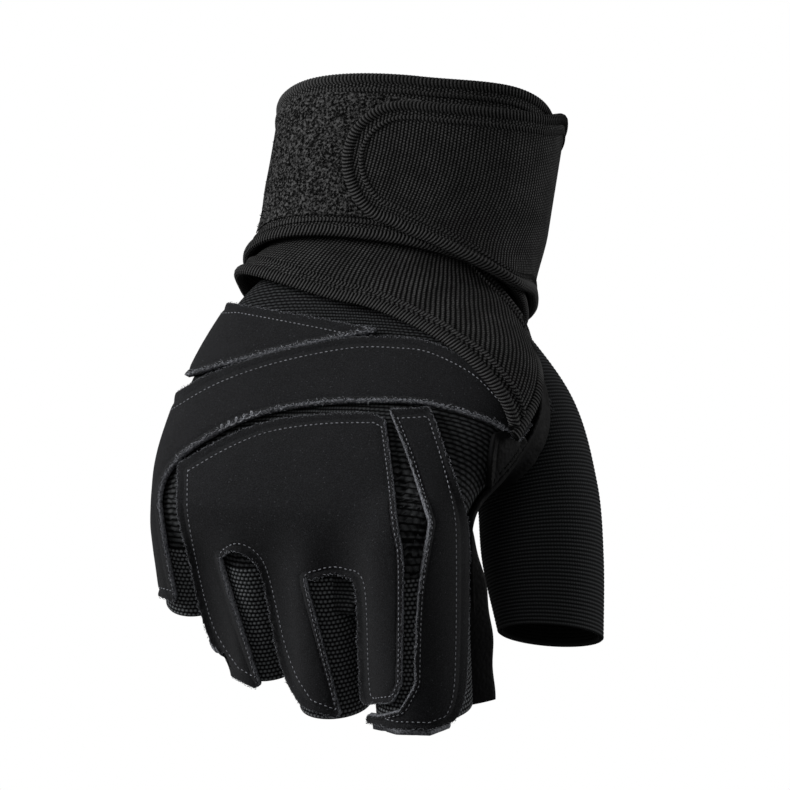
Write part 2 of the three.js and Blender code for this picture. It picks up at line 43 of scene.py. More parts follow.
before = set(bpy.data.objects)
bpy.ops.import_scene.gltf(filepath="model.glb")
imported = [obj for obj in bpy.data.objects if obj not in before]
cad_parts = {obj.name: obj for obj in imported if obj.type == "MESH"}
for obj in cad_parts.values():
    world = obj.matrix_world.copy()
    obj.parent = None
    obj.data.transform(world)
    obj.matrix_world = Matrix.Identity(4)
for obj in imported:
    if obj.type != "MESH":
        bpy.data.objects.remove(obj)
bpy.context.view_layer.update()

MM = 0.001
DEGREES = math.pi / 180
BODY = "root"
LEAST_LENGTH = 0.05 * MM
SAME_PLACE = 1e-7
OUTLINE_STEP = 0.3 * MM
BATCH = 2000


# Driving sizes

def length(name, description, millimetres):
    return FloatProperty(
        name=name, description=description, default=millimetres * MM, min=LEAST_LENGTH,
        unit="LENGTH", precision=4,
    )


def colour(name, description, value):
    return FloatVectorProperty(
        name=name, description=description, default=value, min=0, max=1, size=3, subtype="COLOR"
    )


class GloveForm(bpy.types.PropertyGroup):
    """Sizes of the hand inside the knit, and of the knit itself"""

    wrist_width: length("Wrist width", "Width of the wrist over the knit", 56)
    wrist_depth: length("Wrist depth", "Depth of the wrist over the knit", 42)
    cuff_length: length("Cuff length", "Upper opening to the wrist crease", 52)
    palm_length: length("Palm length", "Wrist crease to the knuckle centres", 82)
    hand_breadth: length("Hand breadth", "Across the four knuckles", 86)
    hand_thickness: length("Hand thickness", "Back of the hand to the palm", 36)
    thumb_length: length("Thumb length", "Thumb root to the end of its sleeve", 83)
    thumb_width: length("Thumb width", "Width of the thumb sleeve", 32)
    thumb_depth: length("Thumb depth", "Depth of the thumb sleeve", 29)
    knit_wall: length("Knit wall", "Thickness of the knit", 1.3)
    panel_thickness: length("Panel thickness", "Thickness of the panels on the back", 1.4)
    leather_thickness: length("Leather thickness", "Thickness of the palm leather", 1.3)
    clearance: length("Clearance", "Gap between pieces that are sewn together", 0.3)
    squareness: FloatProperty(
        name="Squareness", description="1 makes the hand's sections ellipses, less makes them squarer",
        default=0.8, min=0.5, max=1,
    )


class WrapForm(bpy.types.PropertyGroup):
    """Sizes of the wrist wrap"""

    strap_width: length("Strap width", "Width of the strap over its binding", 50)
    strap_thickness: length("Strap thickness", "Thickness of the elastic", 1.4)
    turn_pitch: length("Turn pitch", "Middle of one turn to the middle of the next", 3.4)
    strap_seat: length("Strap seat", "Knit to the middle of the strap where it starts", 3.2)
    tab_round: length("Tab round", "Length of the tab's round end", 14)
    binding_width: length("Binding width", "Width of the rolled edge", 3.3)
    binding_thickness: length("Binding thickness", "Thickness of the rolled edge", 2.7)
    bead_inset: length("Bead inset", "Strap edge to the middle of the raised seam beside the binding", 5.0)
    bead_width: length("Bead width", "Width of the raised seam", 1.5)
    rib_pitch: length("Rib pitch", "One whip stitch of the binding to the next", 0.98)
    seam_width: length("Seam tape width", "Width of the tape where the strap is sewn on", 3.4)


class GloveTrim(bpy.types.PropertyGroup):
    """Sizes of stitches, cut edges and knit rows"""

    stitch_pitch: length("Stitch pitch", "One stitch to the next", 1.38)
    stitch_length: length("Stitch length", "Length of one stitch", 0.85)
    stitch_width: length("Stitch width", "Thickness of the thread", 0.26)
    stitch_inset: length("Stitch inset", "Cut edge to the stitch line", 1.5)
    knit_pitch: length("Knit row", "One row of the knit to the next", 1.15)
    thumb_pitch: length("Thumb rib", "One rib of the thumb sleeve to the next", 0.95)


class GloveColours(bpy.types.PropertyGroup):
    """Base colours"""

    knit: colour("Knit", "Knit back, fingers and thumb", (0.0115, 0.012, 0.0125))
    suede: colour("Suede", "Suede-like panels", (0.0072, 0.0074, 0.0081))
    leather: colour("Leather", "Palm leather", (0.0028, 0.0028, 0.0030))
    strap: colour("Strap", "Elastic strap", (0.010, 0.010, 0.010))
    binding: colour("Binding", "Ribbed edge of the strap", (0.014, 0.014, 0.014))
    thread: colour("Thread", "Sewing thread", (0.17, 0.175, 0.19))
    cut_edge: colour("Cut edge", "Cut edges of the suede", (0.105, 0.108, 0.118))
    fray: colour("Fray", "Loose overlock thread along the lower edges", (0.18, 0.185, 0.20))


FORMS = (GloveForm, WrapForm, GloveTrim, GloveColours)


def sizes():
    return bpy.context.scene.glove_form


def wrap():
    return bpy.context.scene.glove_wrap


def trim():
    return bpy.context.scene.glove_trim


def colours():
    return bpy.context.scene.glove_colours


# Tables of the form, with the same columns as the solids'

FINGER_LENGTHS = {"index": 50 * MM, "middle": 50 * MM, "ring": 42 * MM, "little": 26 * MM}
FINGER_WIDTHS = {"index": 24 * MM, "middle": 18.4 * MM, "ring": 17.4 * MM, "little": 16.6 * MM}
FINGER_DEPTHS = {"index": 28 * MM, "middle": 22 * MM, "ring": 21 * MM, "little": 19 * MM}

# Lean to the left and tilt to the front, going down
ARM = (9.5 * DEGREES, 19 * DEGREES)
PALM = (19.8 * DEGREES, 39.9 * DEGREES)
FINGER = (-4 * DEGREES, -21 * DEGREES)
PALM_YAW = 22.6 * DEGREES

HAND_COLUMNS = ("at", "turn", "shift", "wrist", "width", "depth")
HAND_SECTIONS = (
    (-1.10, 0.00, 0.000, 1, 1.00, 1.00),
    (-0.80, 0.00, 0.000, 1, 1.00, 1.00),
    (-0.40, 0.00, 0.000, 1, 1.00, 0.98),
    (0.00, 0.25, -0.005, 1, 1.02, 0.98),
    (0.22, 0.65, 0.010, 0, 0.91, 1.06),
    (0.50, 1.00, 0.040, 0, 1.11, 1.00),
    (0.75, 1.00, 0.020, 0, 1.08, 0.90),
    (0.88, 1.10, 0.000, 0, 1.01, 0.82),
    (0.96, 1.38, 0.005, 0, 0.98, 0.76),
    (1.04, 1.70, 0.005, 0, 0.96, 0.70),
    (1.12, 2.00, 0.005, 0, 0.93, 0.66),
    (1.20, 2.00, 0.005, 0, 0.86, 0.60),
)
FINGER_COLUMNS = ("at", "width", "depth")
FINGER_SECTIONS = (
    (-0.27, 0.40, 0.40),
    (-0.22, 0.66, 0.66),
    (-0.12, 0.90, 0.90),
    (0.00, 1.00, 1.02),
    (0.25, 1.02, 1.04),
    (0.60, 1.00, 1.00),
    (1.00, 0.98, 0.96),
)
# name: where the sleeve starts, place on the hand breadth, ahead of the knuckle line, lean, tilt, yaw
FINGERS = {
    "index": (0.30, 0.345, 0.00, -3.5, -16, 34),
    "middle": (0.30, 0.070, 0.01, -3.0, -20, 24),
    "ring": (0.34, -0.163, 0.00, -6.0, -25, 24),
    "little": (0.46, -0.382, -0.02, -5.0, -28, 22),
}
THUMB_COLUMNS = ("at", "out", "lean", "width", "depth")
THUMB_SECTIONS = (
    (0.00, 0.00, -24, 0.62, 0.70),
    (0.29, 0.17, -16, 0.90, 0.95),
    (0.55, 0.16, -8, 1.00, 1.00),
    (0.76, 0.08, -1, 1.00, 1.00),
    (1.00, 0.00, 5, 0.86, 0.92),
)
THUMB = (-13 * DEGREES, 15 * DEGREES)
THUMB_YAW = 30 * DEGREES
THUMB_ROOT = (0.47, 0.15)  # share of the wrist width to the thumb side, share of the palm length down

STRAP_COLUMNS = ("at", "lower", "upper")
STRAP_EDGES = (
    (14, 2.20, 1.30), (40, 2.02, 1.02), (65, 1.80, 0.78), (90, 1.58, 0.60), (135, 1.34, 0.38),
    (180, 1.22, 0.28), (270, 1.16, 0.18), (360, 1.12, 0.04), (405, 1.12, 0.03), (450, 1.10, 0.10),
    (495, 1.10, 0.14), (540, 1.10, 0.16), (630, 1.04, 0.08), (720, 1.04, 0.00), (755, 1.20, 0.14),
    (800, 1.07, 0.25), (830, 0.86, 0.28),
)
STRAP_START = STRAP_EDGES[0][0]
STRAP_END = STRAP_EDGES[-1][0]


def table(columns, rows):
    return {name: np.array([row[i] for row in rows], float) for i, name in enumerate(columns)}


HAND_TABLE = table(HAND_COLUMNS, HAND_SECTIONS)
FINGER_TABLE = table(FINGER_COLUMNS, FINGER_SECTIONS)
THUMB_TABLE = table(THUMB_COLUMNS, THUMB_SECTIONS)
STRAP_TABLE = table(STRAP_COLUMNS, STRAP_EDGES)


def column(rows, name, at):
    """Smooth values of one column of a table at places along it"""
    places = rows["at"]
    values = rows[name]
    at = np.asarray(at, float)
    i = np.clip(np.searchsorted(places, at, side="left") - 1, 0, len(places) - 2)
    span = places[i + 1] - places[i]
    t = np.clip((at - places[i]) / span, 0, 1)
    slopes = np.empty(len(places))
    slopes[1:-1] = (values[2:] - values[:-2]) / (places[2:] - places[:-2])
    slopes[0] = (values[1] - values[0]) / (places[1] - places[0])
    slopes[-1] = (values[-1] - values[-2]) / (places[-1] - places[-2])
    t2 = t * t
    t3 = t2 * t
    return (values[i] * (2 * t3 - 3 * t2 + 1) + slopes[i] * span * (t3 - 2 * t2 + t)
            + values[i + 1] * (3 * t2 - 2 * t3) + slopes[i + 1] * span * (t3 - t2))


# The form of the hand. Every function takes and gives arrays, so that a whole surface is worked out at once

def unit(vectors):
    return vectors / np.linalg.norm(vectors, axis=-1, keepdims=True)


def dot(a, b):
    return np.sum(a * b, axis=-1, keepdims=True)


def downward(lean, tilt):
    lean, tilt = np.broadcast_arrays(np.asarray(lean, float), np.asarray(tilt, float))
    return unit(np.stack([-np.tan(lean), -np.tan(tilt), -np.ones_like(lean)], axis=-1))


def section_axes(down, yaw):
    """Width to the thumb side and back to the back of the hand"""
    yaw = np.broadcast_to(np.asarray(yaw, float), down.shape[:-1])
    width = np.stack([np.cos(yaw), -np.sin(yaw), np.zeros_like(yaw)], axis=-1)
    width = unit(width - dot(width, down) * down)
    return width, np.cross(down, width)


def crease_centre():
    return downward(*ARM) * sizes().cuff_length


def knuckle_centre():
    return crease_centre() + downward(*PALM) * sizes().palm_length


def hand_section(distance):
    """Centre, axes and half sizes of the hand at distances below the upper opening"""
    form = sizes()
    distance = np.asarray(distance, float)
    past = distance - form.cuff_length
    at = np.where(past < 0, past / form.cuff_length, past / form.palm_length)
    turn = column(HAND_TABLE, "turn", at)[..., None]
    arm, palm, finger = downward(*ARM), downward(*PALM), downward(*FINGER)
    down = unit(np.where(turn < 1, arm + (palm - arm) * turn, palm + (finger - palm) * (turn - 1)))
    width, back = section_axes(down, PALM_YAW * np.minimum(turn[..., 0], 1))
    centre = np.where(
        past[..., None] < 0,
        arm * distance[..., None],
        crease_centre() + palm * np.minimum(past, form.palm_length)[..., None],
    )
    centre = centre + finger * np.maximum(past - form.palm_length, 0)[..., None]
    centre = centre + width * (column(HAND_TABLE, "shift", at) * form.hand_breadth)[..., None]
    wrist = column(HAND_TABLE, "wrist", at)
    full_width = wrist * form.wrist_width + (1 - wrist) * form.hand_breadth
    full_depth = wrist * form.wrist_depth + (1 - wrist) * form.hand_thickness
    half_width = column(HAND_TABLE, "width", at) * full_width / 2
    half_depth = column(HAND_TABLE, "depth", at) * full_depth / 2
    return centre, down, width, back, half_width, half_depth


def finger_section(name, at):
    form = sizes()
    _, across, ahead, lean, tilt, yaw = FINGERS[name]
    at = np.asarray(at, float)
    down = np.broadcast_to(downward(lean * DEGREES, tilt * DEGREES), at.shape + (3,))
    width, back = section_axes(down, yaw * DEGREES)
    palm = downward(*PALM)
    knuckle = knuckle_centre() + section_axes(palm, PALM_YAW)[0] * across * form.hand_breadth
    knuckle = knuckle + palm * ahead * form.palm_length
    centre = knuckle + down * (at * FINGER_LENGTHS[name])[..., None]
    half_width = column(FINGER_TABLE, "width", at) * FINGER_WIDTHS[name] / 2
    half_depth = column(FINGER_TABLE, "depth", at) * FINGER_DEPTHS[name] / 2
    return centre, down, width, back, half_width, half_depth


def thumb_section(at):
    form = sizes()
    at = np.asarray(at, float)
    down = downward(column(THUMB_TABLE, "lean", at) * DEGREES, THUMB[1])
    width, back = section_axes(down, THUMB_YAW)
    root = crease_centre() + section_axes(downward(*ARM), 0)[0] * THUMB_ROOT[0] * form.wrist_width
    root = root + downward(*PALM) * THUMB_ROOT[1] * form.palm_length
    line = downward(*THUMB)
    centre = root + line * (at * form.thumb_length)[..., None]
    bow = column(THUMB_TABLE, "out", at) * form.thumb_width
    centre = centre + section_axes(line, 0)[0] * bow[..., None]
    half_width = column(THUMB_TABLE, "width", at) * form.thumb_width / 2
    half_depth = column(THUMB_TABLE, "depth", at) * form.thumb_depth / 2
    return centre, down, width, back, half_width, half_depth


def section_point(section, angle, offset, squareness):
    """Points of sections grown by an offset. Angle 0 is the thumb side, 90 degrees the back of the hand"""
    centre, _, width, back, half_width, half_depth = section
    c, s = np.cos(angle), np.sin(angle)
    x = np.sign(c) * np.abs(c) ** squareness
    y = np.sign(s) * np.abs(s) ** squareness
    across = x * (half_width + offset)
    away = y * (half_depth + offset)
    return centre + width * across[..., None] + back * away[..., None]


def strap_offset(turn):
    return wrap().strap_seat + wrap().turn_pitch * (turn - STRAP_START) / 360


def strap_point(turn, distance, offset):
    turn, distance, offset = np.broadcast_arrays(
        np.asarray(turn, float), np.asarray(distance, float), np.asarray(offset, float)
    )
    return section_point(hand_section(distance), turn * DEGREES, offset, sizes().squareness)


# Outlines of the panels, as they are seen from a point in front of the glove. The first number of a pair
# is a share of the hand breadth from the middle of the knuckles to the thumb side. The second is 0 at the
# wrist crease, 1 at the knuckles and 2 at the tip of the middle finger's sleeve

VIEW_POINT = np.array([-7.2 * MM, -1400 * MM, -78.2 * MM])
VIEW_DISTANCE = -VIEW_POINT[1]


def seen(points):
    """Where points are seen from the viewing point, on the plane through the origin"""
    scale = VIEW_DISTANCE / (VIEW_DISTANCE + points[..., 1])
    x = VIEW_POINT[0] + (points[..., 0] - VIEW_POINT[0]) * scale
    z = VIEW_POINT[2] + (points[..., 2] - VIEW_POINT[2]) * scale
    return np.stack([x, z], axis=-1)


WEDGE_OUTLINE = (
    ((-0.400, 0.118), (-0.206, 0.106)),
    ((-0.206, 0.106), (0.003, 0.160), (0.228, 0.223)),
    ((0.228, 0.223), (-0.058, 0.303), (-0.360, 0.413)),
    ((-0.360, 0.413), (-0.500, 0.465), (-0.520, 0.265), (-0.400, 0.118)),
)
BAND_OUTLINE = (
    ((-0.440, 0.539), (-0.283, 0.413), (-0.092, 0.320), (0.139, 0.257), (0.293, 0.257), (0.392, 0.278),
     (0.521, 0.366), (0.600, 0.470), (0.680, 0.600)),
    ((0.640, 0.670), (0.560, 0.600), (0.392, 0.535), (0.253, 0.522), (0.062, 0.530), (-0.108, 0.568),
     (-0.243, 0.640), (-0.372, 0.758), (-0.428, 0.888), (-0.420, 1.091), (-0.388, 1.401)),
    ((-0.388, 1.435), (-0.462, 1.400)),
    ((-0.600, 1.335), (-0.600, 0.600)),
)
KNUCKLE_OUTLINE = (
    ((-0.376, 0.787), (-0.243, 0.682), (-0.108, 0.610), (0.062, 0.577), (0.216, 0.573)),
    ((0.253, 0.598), (0.272, 0.800), (0.290, 1.030), (0.305, 1.200), (0.307, 1.500), (0.305, 1.895)),
    ((0.281, 1.990), (0.207, 2.005)),
    ((0.188, 1.980), (0.179, 1.834), (0.167, 1.374), (0.124, 1.307), (0.077, 1.296), (0.031, 1.324),
     (0.019, 1.374), (0.117, 2.050)),
    ((0.100, 2.070), (0.010, 2.010)),
    ((-0.037, 1.884), (-0.077, 1.695), (-0.129, 1.313), (-0.166, 1.202), (-0.212, 1.168), (-0.237, 1.202),
     (-0.240, 1.252), (-0.129, 1.890)),
    ((-0.145, 1.905), (-0.218, 1.830)),
    ((-0.218, 1.830), (-0.305, 1.562), (-0.372, 1.052), (-0.379, 0.863), (-0.376, 0.787)),
)
SIDE_OUTLINE = (
    ((0.262, 0.556), (0.308, 0.716), (0.336, 0.833), (0.376, 1.030)),
    ((0.376, 1.030), (0.345, 1.401), (0.336, 1.895)),
    ((0.296, 2.028), (0.241, 2.055)),
    ((0.207, 2.044), (0.207, 2.100)),
    ((0.281, 2.130), (0.386, 2.135)),
    ((0.447, 2.094), (0.478, 1.895), (0.484, 1.191), (0.475, 0.955), (0.438, 0.745), (0.392, 0.547)),
)
WEB_OUTLINE = (
    ((0.573, 0.648), (0.641, 0.623), (0.672, 0.707), (0.654, 0.833), (0.598, 0.901), (0.555, 0.875),
     (0.561, 0.728), (0.573, 0.648)),
)


def spline(points, divisions):
    """Points of one smooth curve through the given ones"""
    points = np.asarray(points, float)
    last = len(points) - 1
    out = []
    for i in range(last):
        before, start, end, after = points[max(i - 1, 0)], points[i], points[i + 1], points[min(i + 2, last)]
        slope_start = (end - before) / 2
        slope_end = (after - start) / 2
        for t in np.arange(divisions) / divisions:
            out.append(
                (2 * start - 2 * end + slope_start + slope_end) * t ** 3
                + (-3 * start + 3 * end - 2 * slope_start - slope_end) * t ** 2 + slope_start * t + start
            )
    out.append(points[last])
    return np.array(out)


def distances_along(points):
    """How far along a line each of its points lies. The columns after the third are no places"""
    steps = np.linalg.norm(np.diff(points[:, :3], axis=0), axis=1)
    return np.concatenate([[0], np.cumsum(steps)])


def resample(points, step):
    """Points of a line at equal steps along it"""
    points = np.asarray(points, float)
    along = distances_along(points)
    count = max(2, int(round(along[-1] / step)) + 1)
    places = np.linspace(0, along[-1], count)
    return np.stack([np.interp(places, along, values) for values in points.T], axis=-1)


def even_out(rows, times):
    """Draws each row but the first and the last towards the rows beside it"""
    for _ in range(times):
        rows[1:-1] = (rows[:-2] + rows[1:-1] * 2 + rows[2:]) / 4


def run_points(run):
    """The given points of one run of an outline, on the viewing plane"""
    crease, knuckle = seen(crease_centre()), seen(knuckle_centre())
    tip = seen(finger_section("middle", 1.0)[0])
    across, down = np.array(run).T
    height = np.where(
        down < 1,
        crease[1] + (knuckle[1] - crease[1]) * down,
        knuckle[1] + (tip[1] - knuckle[1]) * (down - 1),
    )
    return np.stack([knuckle[0] + across * sizes().hand_breadth, height], axis=-1)


def outline_points(outline):
    """The outline as a closed line of close points on the viewing plane"""
    line = []
    for run in outline:
        points = run_points(run)
        line.extend(spline(points, 8) if len(points) > 2 else points)
    line = np.array(line)
    keep = np.linalg.norm(line - np.roll(line, 1, axis=0), axis=1) > 0.001 * MM
    closed = np.vstack([line[keep], line[keep][:1]])
    return resample(closed, OUTLINE_STEP)[:-1]


def outline_depth(points, outline):
    """How far inside a closed outline points lie, and less than nothing outside it"""
    start = outline
    end = np.roll(outline, -1, axis=0)
    side = end - start
    depth = np.empty(len(points))
    for low in range(0, len(points), BATCH):
        p = points[low:low + BATCH, None, :]
        t = np.clip(np.sum((p - start) * side, axis=-1) / np.sum(side * side, axis=-1), 0, 1)
        away = np.linalg.norm(p - (start + side * t[..., None]), axis=-1).min(axis=1)
        x, z = p[..., 0], p[..., 1]
        crosses = (start[:, 1] > z) != (end[:, 1] > z)
        rise = np.where(crosses, end[:, 1] - start[:, 1], 1)
        where = start[:, 0] + (z - start[:, 1]) / rise * side[:, 0]
        inside = np.sum(crosses & (x < where), axis=1) % 2 == 1
        depth[low:low + BATCH] = np.where(inside, away, -away)
    return depth


def front_depth(points):
    """How far in front of the sheet through the middle of the hand and the fingers points lie"""
    across = section_axes(downward(*PALM), PALM_YAW)[0].copy()
    across[2] = 0
    across = across / np.linalg.norm(across)
    front = np.array([across[1], -across[0], 0])
    stops = np.stack([finger_section("middle", 1.0)[0], knuckle_centre(), crease_centre()])
    middle = np.interp(points[:, 2], stops[:, 2], stops @ front)
    return points @ front - middle


# Meshes

def grid(points, uvs=None, close_around=False):
    """A bmesh grid with its corners at rows of points"""
    rows, columns, _ = points.shape
    bm = bmesh.new()
    bmesh.ops.create_grid(bm, x_segments=columns - 1, y_segments=rows - 1, size=1)
    bm.verts.ensure_lookup_table()
    for vert, place in zip(bm.verts, points.reshape(-1, 3)):
        vert.co = place
    if uvs is not None:
        layer = bm.loops.layers.uv.new("UVMap")
        flat = uvs.reshape(-1, 2)
        bm.verts.index_update()
        for face in bm.faces:
            for loop in face.loops:
                loop[layer].uv = flat[loop.vert.index]
    if close_around:
        seam = [v for v in bm.verts if v.is_boundary and v.index % columns in (0, columns - 1)]
        bmesh.ops.remove_doubles(bm, verts=seam, dist=SAME_PLACE)
    bmesh.ops.recalc_face_normals(bm, faces=bm.faces)
    return bm


def add_mesh(name, bm, *materials):
    mesh = bpy.data.meshes.new(name)
    for face in bm.faces:
        face.smooth = True
    bm.to_mesh(mesh)
    bm.free()
    for each in materials:
        mesh.materials.append(each)
    return add_object(name, mesh)


def add_object(name, data):
    made = bpy.data.objects.new(name, data)
    bpy.context.scene.collection.objects.link(made)
    return made


def add_piece(piece, slot, *nodes):
    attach(piece, BODY)
    if nodes:
        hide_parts(*nodes)


def finished_mesh(piece):
    """The mesh of a piece with its modifiers applied"""
    bpy.context.view_layer.update()
    evaluated = piece.evaluated_get(bpy.context.evaluated_depsgraph_get())
    return bpy.data.meshes.new_from_object(evaluated)


def apply_modifiers(piece):
    mesh = finished_mesh(piece)
    piece.modifiers.clear()
    old = piece.data
    piece.data = mesh
    bpy.data.meshes.remove(old)


def thicken(piece, thickness, offset, rim=0):
    modifier = piece.modifiers.new("Wall", "SOLIDIFY")
    modifier.thickness = thickness
    modifier.offset = offset
    modifier.material_offset_rim = rim


def fill_holes(bm):
    bmesh.ops.holes_fill(bm, edges=[e for e in bm.edges if e.is_boundary], sides=0)
    bmesh.ops.recalc_face_normals(bm, faces=bm.faces)


def turn_outward(bm, inside):
    """Turns the faces of a sheet away from the place that inside gives for the middle of a face"""
    votes = 0
    for face in list(bm.faces)[::37]:
        middle = face.calc_center_median()
        votes += 1 if (middle - inside(middle)).dot(face.normal) > 0 else -1
    if votes < 0:
        bmesh.ops.reverse_faces(bm, faces=bm.faces)


def mesh_arrays(mesh):
    """Places and normals of a mesh's corners"""
    places = np.empty(len(mesh.vertices) * 3, np.float32)
    mesh.vertices.foreach_get("co", places)
    normals = np.empty(len(mesh.vertices) * 3, np.float32)
    mesh.vertices.foreach_get("normal", normals)
    return places.reshape(-1, 3).astype(float), normals.reshape(-1, 3).astype(float)


def copies(name, source, places, turns, stretch, material):
    """One mesh of many copies of a small one. turns: the axes of each copy as rows; stretch: its sizes"""
    verts = np.array([v.co for v in source.verts])
    faces = [[v.index for v in f.verts] for f in source.faces]
    source.free()
    places, turns, stretch = np.asarray(places), np.asarray(turns), np.asarray(stretch)
    count = len(places)
    turned = np.einsum("nij,nvi->nvj", turns, verts[None] * stretch[:, None, :]) + places[:, None, :]
    loops = np.concatenate([np.array(f) for f in faces])
    lengths = np.array([len(f) for f in faces])
    mesh = bpy.data.meshes.new(name)
    mesh.vertices.add(count * len(verts))
    mesh.vertices.foreach_set("co", turned.reshape(-1).astype(np.float32))
    mesh.loops.add(count * len(loops))
    offsets = np.arange(count)[:, None] * len(verts)
    mesh.loops.foreach_set("vertex_index", (loops[None] + offsets).reshape(-1).astype(np.int32))
    mesh.polygons.add(count * len(faces))
    totals = np.tile(lengths, count)
    mesh.polygons.foreach_set("loop_start", np.concatenate([[0], np.cumsum(totals)[:-1]]).astype(np.int32))
    mesh.update(calc_edges=True)
    mesh.polygons.foreach_set("use_smooth", np.ones(count * len(faces), bool))
    mesh.validate()
    mesh.materials.append(material)
    return add_object(name, mesh)


def capsule(sides, rings):
    """A small round-ended rod along its own x axis, one unit long and one unit thick"""
    bm = bmesh.new()
    bmesh.ops.create_uvsphere(bm, u_segments=sides, v_segments=rings, radius=0.5)
    for vert in bm.verts:
        vert.co = (vert.co.z, vert.co.x, vert.co.y)
    bmesh.ops.recalc_face_normals(bm, faces=bm.faces)
    bm.verts.index_update()
    return bm


def frames_along(points, normals):
    """Axes at each point of a line: along it, sideways, and out of the surface"""
    along = unit(np.gradient(points, axis=0))
    out = unit(normals - dot(normals, along) * along)
    return along, np.cross(out, along), out


def rope(points, normals, half_width, half_height, sides, rib=None, slant=0.0):
    """A cord along a line; rib gives a growth for each row and angle"""
    _, side, out = frames_along(points, normals)
    angle = np.arange(sides + 1) / sides * 2 * math.pi
    growth = 0 if rib is None else rib(angle)
    x = np.cos(angle)[None] * (half_width + growth)
    y = np.sin(angle)[None] * (half_height + growth)
    ring = points[:, None] + side[:, None] * x[..., None] + out[:, None] * y[..., None]
    run = distances_along(points)
    girth = half_width * 2 * math.pi
    round_it = np.arange(sides + 1) / sides
    lean = slant * np.sin(round_it * 2 * math.pi) * wrap().rib_pitch
    uvs = np.stack(np.broadcast_arrays((round_it * girth)[None], run[:, None] + lean[None]), axis=-1)
    bm = grid(ring, uvs, close_around=True)
    fill_holes(bm)
    return bm


def ridge(place):
    """A row of round ridges with narrow grooves between them, each one long and from 0 to 1 high"""
    return np.sqrt(np.abs(np.sin(math.pi * np.asarray(place, float))))


# Materials

class Nodes:
    """Short names for building a material's nodes"""

    def __init__(self, name):
        self.material = bpy.data.materials.new(name)
        self.material.use_nodes = True
        self.tree = self.material.node_tree
        self.shader = self.tree.nodes["Principled BSDF"]

    def add(self, kind, **settings):
        node = self.tree.nodes.new(kind)
        for key, value in settings.items():
            setattr(node, key, value)
        return node

    def link(self, value, socket):
        if isinstance(value, bpy.types.NodeSocket):
            self.tree.links.new(value, socket)
        else:
            socket.default_value = value

    def math(self, operation, *values):
        node = self.add("ShaderNodeMath", operation=operation)
        for value, socket in zip(values, node.inputs):
            self.link(value, socket)
        return node.outputs[0]

    def place(self, source="Object"):
        return self.add("ShaderNodeTexCoord").outputs[source]

    def split_uv(self):
        node = self.add("ShaderNodeSeparateXYZ")
        self.link(self.place("UV"), node.inputs[0])
        return node.outputs[0], node.outputs[1]

    def sway(self, value, amount):
        """A noise moved to lie about nothing, and made as strong as an amount"""
        return self.math("MULTIPLY", self.math("SUBTRACT", value, 0.5), amount)

    def noise(self, vector, size, detail=2.0, roughness=0.5):
        """Noise with features of about a given size"""
        node = self.add("ShaderNodeTexNoise")
        self.link(vector, node.inputs["Vector"])
        node.inputs["Scale"].default_value = 1 / size
        node.inputs["Detail"].default_value = detail
        node.inputs["Roughness"].default_value = roughness
        return node.outputs["Fac"]

    def cells(self, vector, size, feature="F1"):
        node = self.add("ShaderNodeTexVoronoi", feature=feature)
        self.link(vector, node.inputs["Vector"])
        node.inputs["Scale"].default_value = 1 / size
        return node

    def range(self, value, low, high, to_low=0.0, to_high=1.0):
        node = self.add("ShaderNodeMapRange")
        for key, socket in zip((value, low, high, to_low, to_high), node.inputs):
            self.link(key, socket)
        return node.outputs[0]

    def mix(self, factor, first, second):
        node = self.add("ShaderNodeMix", data_type="RGBA")
        self.link(factor, node.inputs["Factor"])
        self.link(first, node.inputs["A"])
        self.link(second, node.inputs["B"])
        return node.outputs["Result"]

    def bump(self, height, distance):
        node = self.add("ShaderNodeBump")
        node.inputs["Strength"].default_value = 1.0
        node.inputs["Distance"].default_value = distance
        self.link(height, node.inputs["Height"])
        self.link(node.outputs["Normal"], self.shader.inputs["Normal"])

    def finish(self, colour, roughness, specular, sheen=0.0, sheen_roughness=0.4):
        self.link(colour, self.shader.inputs["Base Color"])
        self.link(roughness, self.shader.inputs["Roughness"])
        self.shader.inputs["Specular IOR Level"].default_value = specular
        self.shader.inputs["Sheen Weight"].default_value = sheen
        self.shader.inputs["Sheen Roughness"].default_value = sheen_roughness
        return self.material


def shade(value, factor):
    """A colour made lighter or darker"""
    return (value[0] * factor, value[1] * factor, value[2] * factor, 1)


def wave(n, place, pitch, phase=None):
    """Round ridges from 0 to 1 across a coordinate"""
    turns = n.math("MULTIPLY", place, math.pi / pitch)
    if phase is not None:
        turns = n.math("ADD", turns, phase)
    return n.math("ABSOLUTE", n.math("SINE", turns))


def row_shift(n, place, pitch, turn):
    """A phase that goes on by a turn from each row to the next"""
    return n.math("MULTIPLY", n.math("FLOOR", n.math("DIVIDE", place, pitch)), turn)


def knit_material(name, row, stitch, depth, groove_shade, ridge_highlight, cell):
    """Rows of knit stitches on the piece's own UV map, whose units are metres; painted shade darkens their
    grooves and a painted highlight lightens their loops
    """
    n = Nodes(name)
    u, v = n.split_uv()
    v = n.math("ADD", v, n.sway(n.noise(n.place(), 2.5 * MM, 2), 0.45 * MM))
    rows = wave(n, v, row)
    loops = wave(n, u, stitch, row_shift(n, v, row, math.pi / 2))
    loops = n.math("ADD", 1 - cell, n.math("MULTIPLY", loops, cell))
    height = n.math("MULTIPLY", n.math("POWER", rows, 0.8), loops)
    height = n.math("ADD", height, n.sway(n.noise(n.place(), 0.22 * MM, 3), 0.5))
    base = colours().knit
    # Painted light: the tone follows the stitch height, with painted shade in the grooves and a painted
    # highlight on the raised loops
    lift = n.math("POWER", n.range(height, 0.2, 1.1), 1.6)
    tone = n.mix(lift, shade(base, groove_shade), shade(base, ridge_highlight))
    # Light fibre specks of the knit, kept to the painted-lit loop tops, so they are partly real fibres and
    # partly painted glints
    specks = n.range(n.noise(n.place(), 0.35 * MM, 2), 0.60, 0.72)
    tone = n.mix(n.math("MULTIPLY", specks, n.math("MULTIPLY", lift, 0.5)), tone, shade(base, 9.0))
    n.bump(height, depth)
    return n.finish(tone, 0.95, 0.04)


